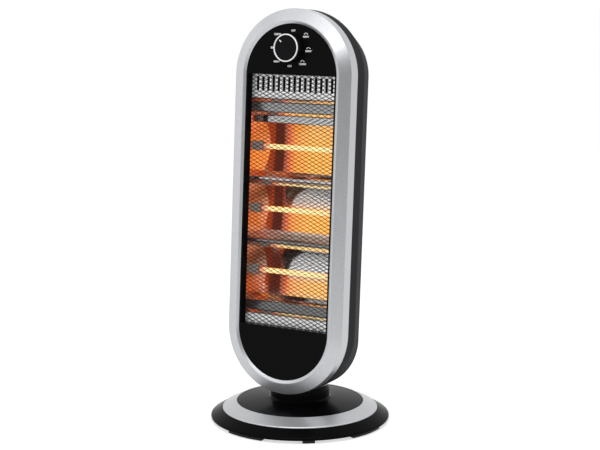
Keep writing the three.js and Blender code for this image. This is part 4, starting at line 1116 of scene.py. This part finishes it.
print("words:", len(WORDS), "with", len(dial_bm.faces), "faces")

# %% The swing sign: an arc with an arrow head at each end
SIGNS = ((24.1, 254.9), (29.4, 233.7), (19.7, 214.2))
SIGN_RADIUS = 3.2
SIGN_HALF_WIDTH = 0.35
SIGN_START = math.radians(35)
SIGN_TURN = math.radians(110)
ARROW_TURNS = (math.radians(33), math.radians(147))
ARROW_RADIUS = 1.2
inner, outer = SIGN_RADIUS - SIGN_HALF_WIDTH, SIGN_RADIUS + SIGN_HALF_WIDTH
start = Matrix.Rotation(SIGN_START, 3, "Z")
sign_bm = bmesh.new()
corners = [sign_bm.verts.new(start @ Vector((radius, 0, height)) * MM) for radius, height in (
    (inner, 0), (outer, 0), (outer, PRINT_HEIGHT), (inner, PRINT_HEIGHT))]
end_face = sign_bm.faces.new(corners)
bmesh.ops.spin(sign_bm, geom=[end_face, *end_face.edges, *end_face.verts], cent=(0, 0, 0),
               axis=(0, 0, 1), dvec=(0, 0, 0), angle=SIGN_TURN, steps=14)
for angle in ARROW_TURNS:
    turn = Matrix.Rotation(angle, 4, "Z")
    rod_at(sign_bm, turn @ Vector((SIGN_RADIUS, 0, PRINT_HEIGHT / 2)), ARROW_RADIUS,
           PRINT_HEIGHT, 3, turn)
for x, y in SIGNS:
    flat = bpy.data.meshes.new("sign")
    sign_bm.to_mesh(flat)
    flat.transform(Matrix.Translation(Vector((x, y, PANEL_FACE)) * MM))
    dial_bm.from_mesh(flat)
sign_bm.free()
piece(dial_bm, "dial_print", PRINT_WHITE, "head", (), HEAD)

# %% [markdown]
# ## The neck
# A black sleeve rises from the base's collar and meets the underside of the head. It is
# turned as a plain tube and then cut with the outside of the head, so that it fits the
# head's curved underside all round.

# %% The neck under the head
NECK_SECTION = [(27, 45.4), (46, 45.4), (46, 92), (27, 92)]
HEAD_GAP = 0.3
CUT_RADIUS = HEAD_HALF_WIDTH + HEAD_GAP
CUT_SECTION = [(0, 50), (CUT_RADIUS, 50), (CUT_RADIUS, -120), (0, -120)]
neck = object_from(turned(NECK_SECTION), "neck_sleeve")
head_bm = turned(CUT_SECTION)
pull_apart(head_bm)
cut_with(neck, head_bm, HEAD)
set_up(neck, UPRIGHT)
hand_over(neck, BASE_BLACK, "head", ["neck"])

# %% [markdown]
# ## The base
# The base is a shallow black dome with a rim, a collar in the middle for the neck, and a
# broad silver ring let into its slope. Both are turned, with their edges rounded.

# %% Dome and silver ring: (radius, height over the floor) in millimetres
COVER_SECTION = [
    (140, 5), (140, 8), (138.6, 9.4), (121.9, 19.2), (121.9, 17.4), (98.9, 27.4), (98.9, 29.2),
    (79.5, 32.1), (60, 33.6), (49, 35.2), (46, 38.2), (46, 45), (43, 45), (43, 25.4), (46, 25.4),
    (46, 31.3), (60, 31.1), (79.5, 29.6), (96.4, 25.7), (121.9, 14.7), (137, 8), (137, 5)]
TRIM_SECTION = [(121.6, 17.7), (121.6, 19.7), (120.6, 20.7), (100.2, 30.2), (99.2, 29.7),
                (99.2, 27.7)]
BASE_STEPS = 128
COVER_ROUNDING = 0.7
TRIM_ROUNDING = 0.4
cover_bm = turned(COVER_SECTION, BASE_STEPS)
round_off(cover_bm, COVER_ROUNDING, sharper=math.radians(30))
piece(cover_bm, "base_cover_smooth", BASE_BLACK, "base", ["base_cover"])
trim_bm = turned(TRIM_SECTION, BASE_STEPS)
round_off(trim_bm, TRIM_ROUNDING, sharper=math.radians(20))
piece(trim_bm, "base_trim_ring_smooth", SILVER, "base", ["base_trim_ring"])

# %% [markdown]
# ## Solids that keep their own shape
# The rest of the solids are right as they are: the base plate, pads, gears, motor, tip
# switch and the parts inside the head. They only need their finishes.

# %% Finishes for the solids
PADS = [f"foot_pad_{kind}_{number}" for kind in ("wide", "narrow") for number in range(1, 5)]
FINISH_OF = {
    PLATED: ["base_plate", "thermal_cutout", "swing_motor", "tip_spring", "switch_shaft"],
    INNER_BLACK: ["heat_shield", "rotary_switch", "tip_guide", "tip_switch"],
    NYLON: ["swing_gear", "drive_pinion", "tip_plunger", "terminal_block"],
    RUBBER: ["cord_bush", *PADS],
    WIRE: [f"filament_{place}" for place in troughs],
}
for finish, names in FINISH_OF.items():
    for name in names:
        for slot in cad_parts[name].material_slots:
            slot.material = finish
    print(finish.name, "on", len(names), "solids")

# %% [markdown]
# ## Screws
# Four long screws close the head from behind, and six close the base from below. Each is a
# small pan head with a crossed recess, spun from a curved section and cut by two blades.

# %% One screw: (radius, height over its seat) in millimetres
SCREW_HEIGHT = 1.9
SCREW_SECTION = [(0, 0), (3.2, 0), (3.2, 0.5), (2.752, 1.52), (1.6, SCREW_HEIGHT),
                 (0, SCREW_HEIGHT)]
BLADES = ((3.52, 0.7, 1.6), (0.7, 3.52, 1.6))


def screw(name, body, where):
    made = object_from(turned(SCREW_SECTION, 32, closed=False), name)
    for blade_size in BLADES:
        blade = bmesh.new()
        box_at(blade, (0, 0, SCREW_HEIGHT), blade_size)
        cut_with(made, blade)
    set_up(made, where @ Matrix.Rotation(math.pi, 4, "X"))
    hand_over(made, PLATED, body)


# %% Screws in the head and the base
CASE_SEAT = SHELL_BACK + 5.6
BASE_SEAT = 4.9
BASE_SCREWS = 6
SCREW_CIRCLE = 112
for number, (side, end) in enumerate(SIDES, 1):
    seat = Vector((side * BOSS_X, end * BOSS_Y, CASE_SEAT)) * MM
    screw(f"case_screw_{number}", "head", HEAD @ Matrix.Translation(seat))
for number in range(1, BASE_SCREWS + 1):
    turn = Matrix.Rotation(TURN * (number - 0.5) / BASE_SCREWS, 3, "Z")
    seat = turn @ Vector((SCREW_CIRCLE, 0, BASE_SEAT)) * MM
    screw(f"base_screw_{number}", "base", Matrix.Translation(seat))
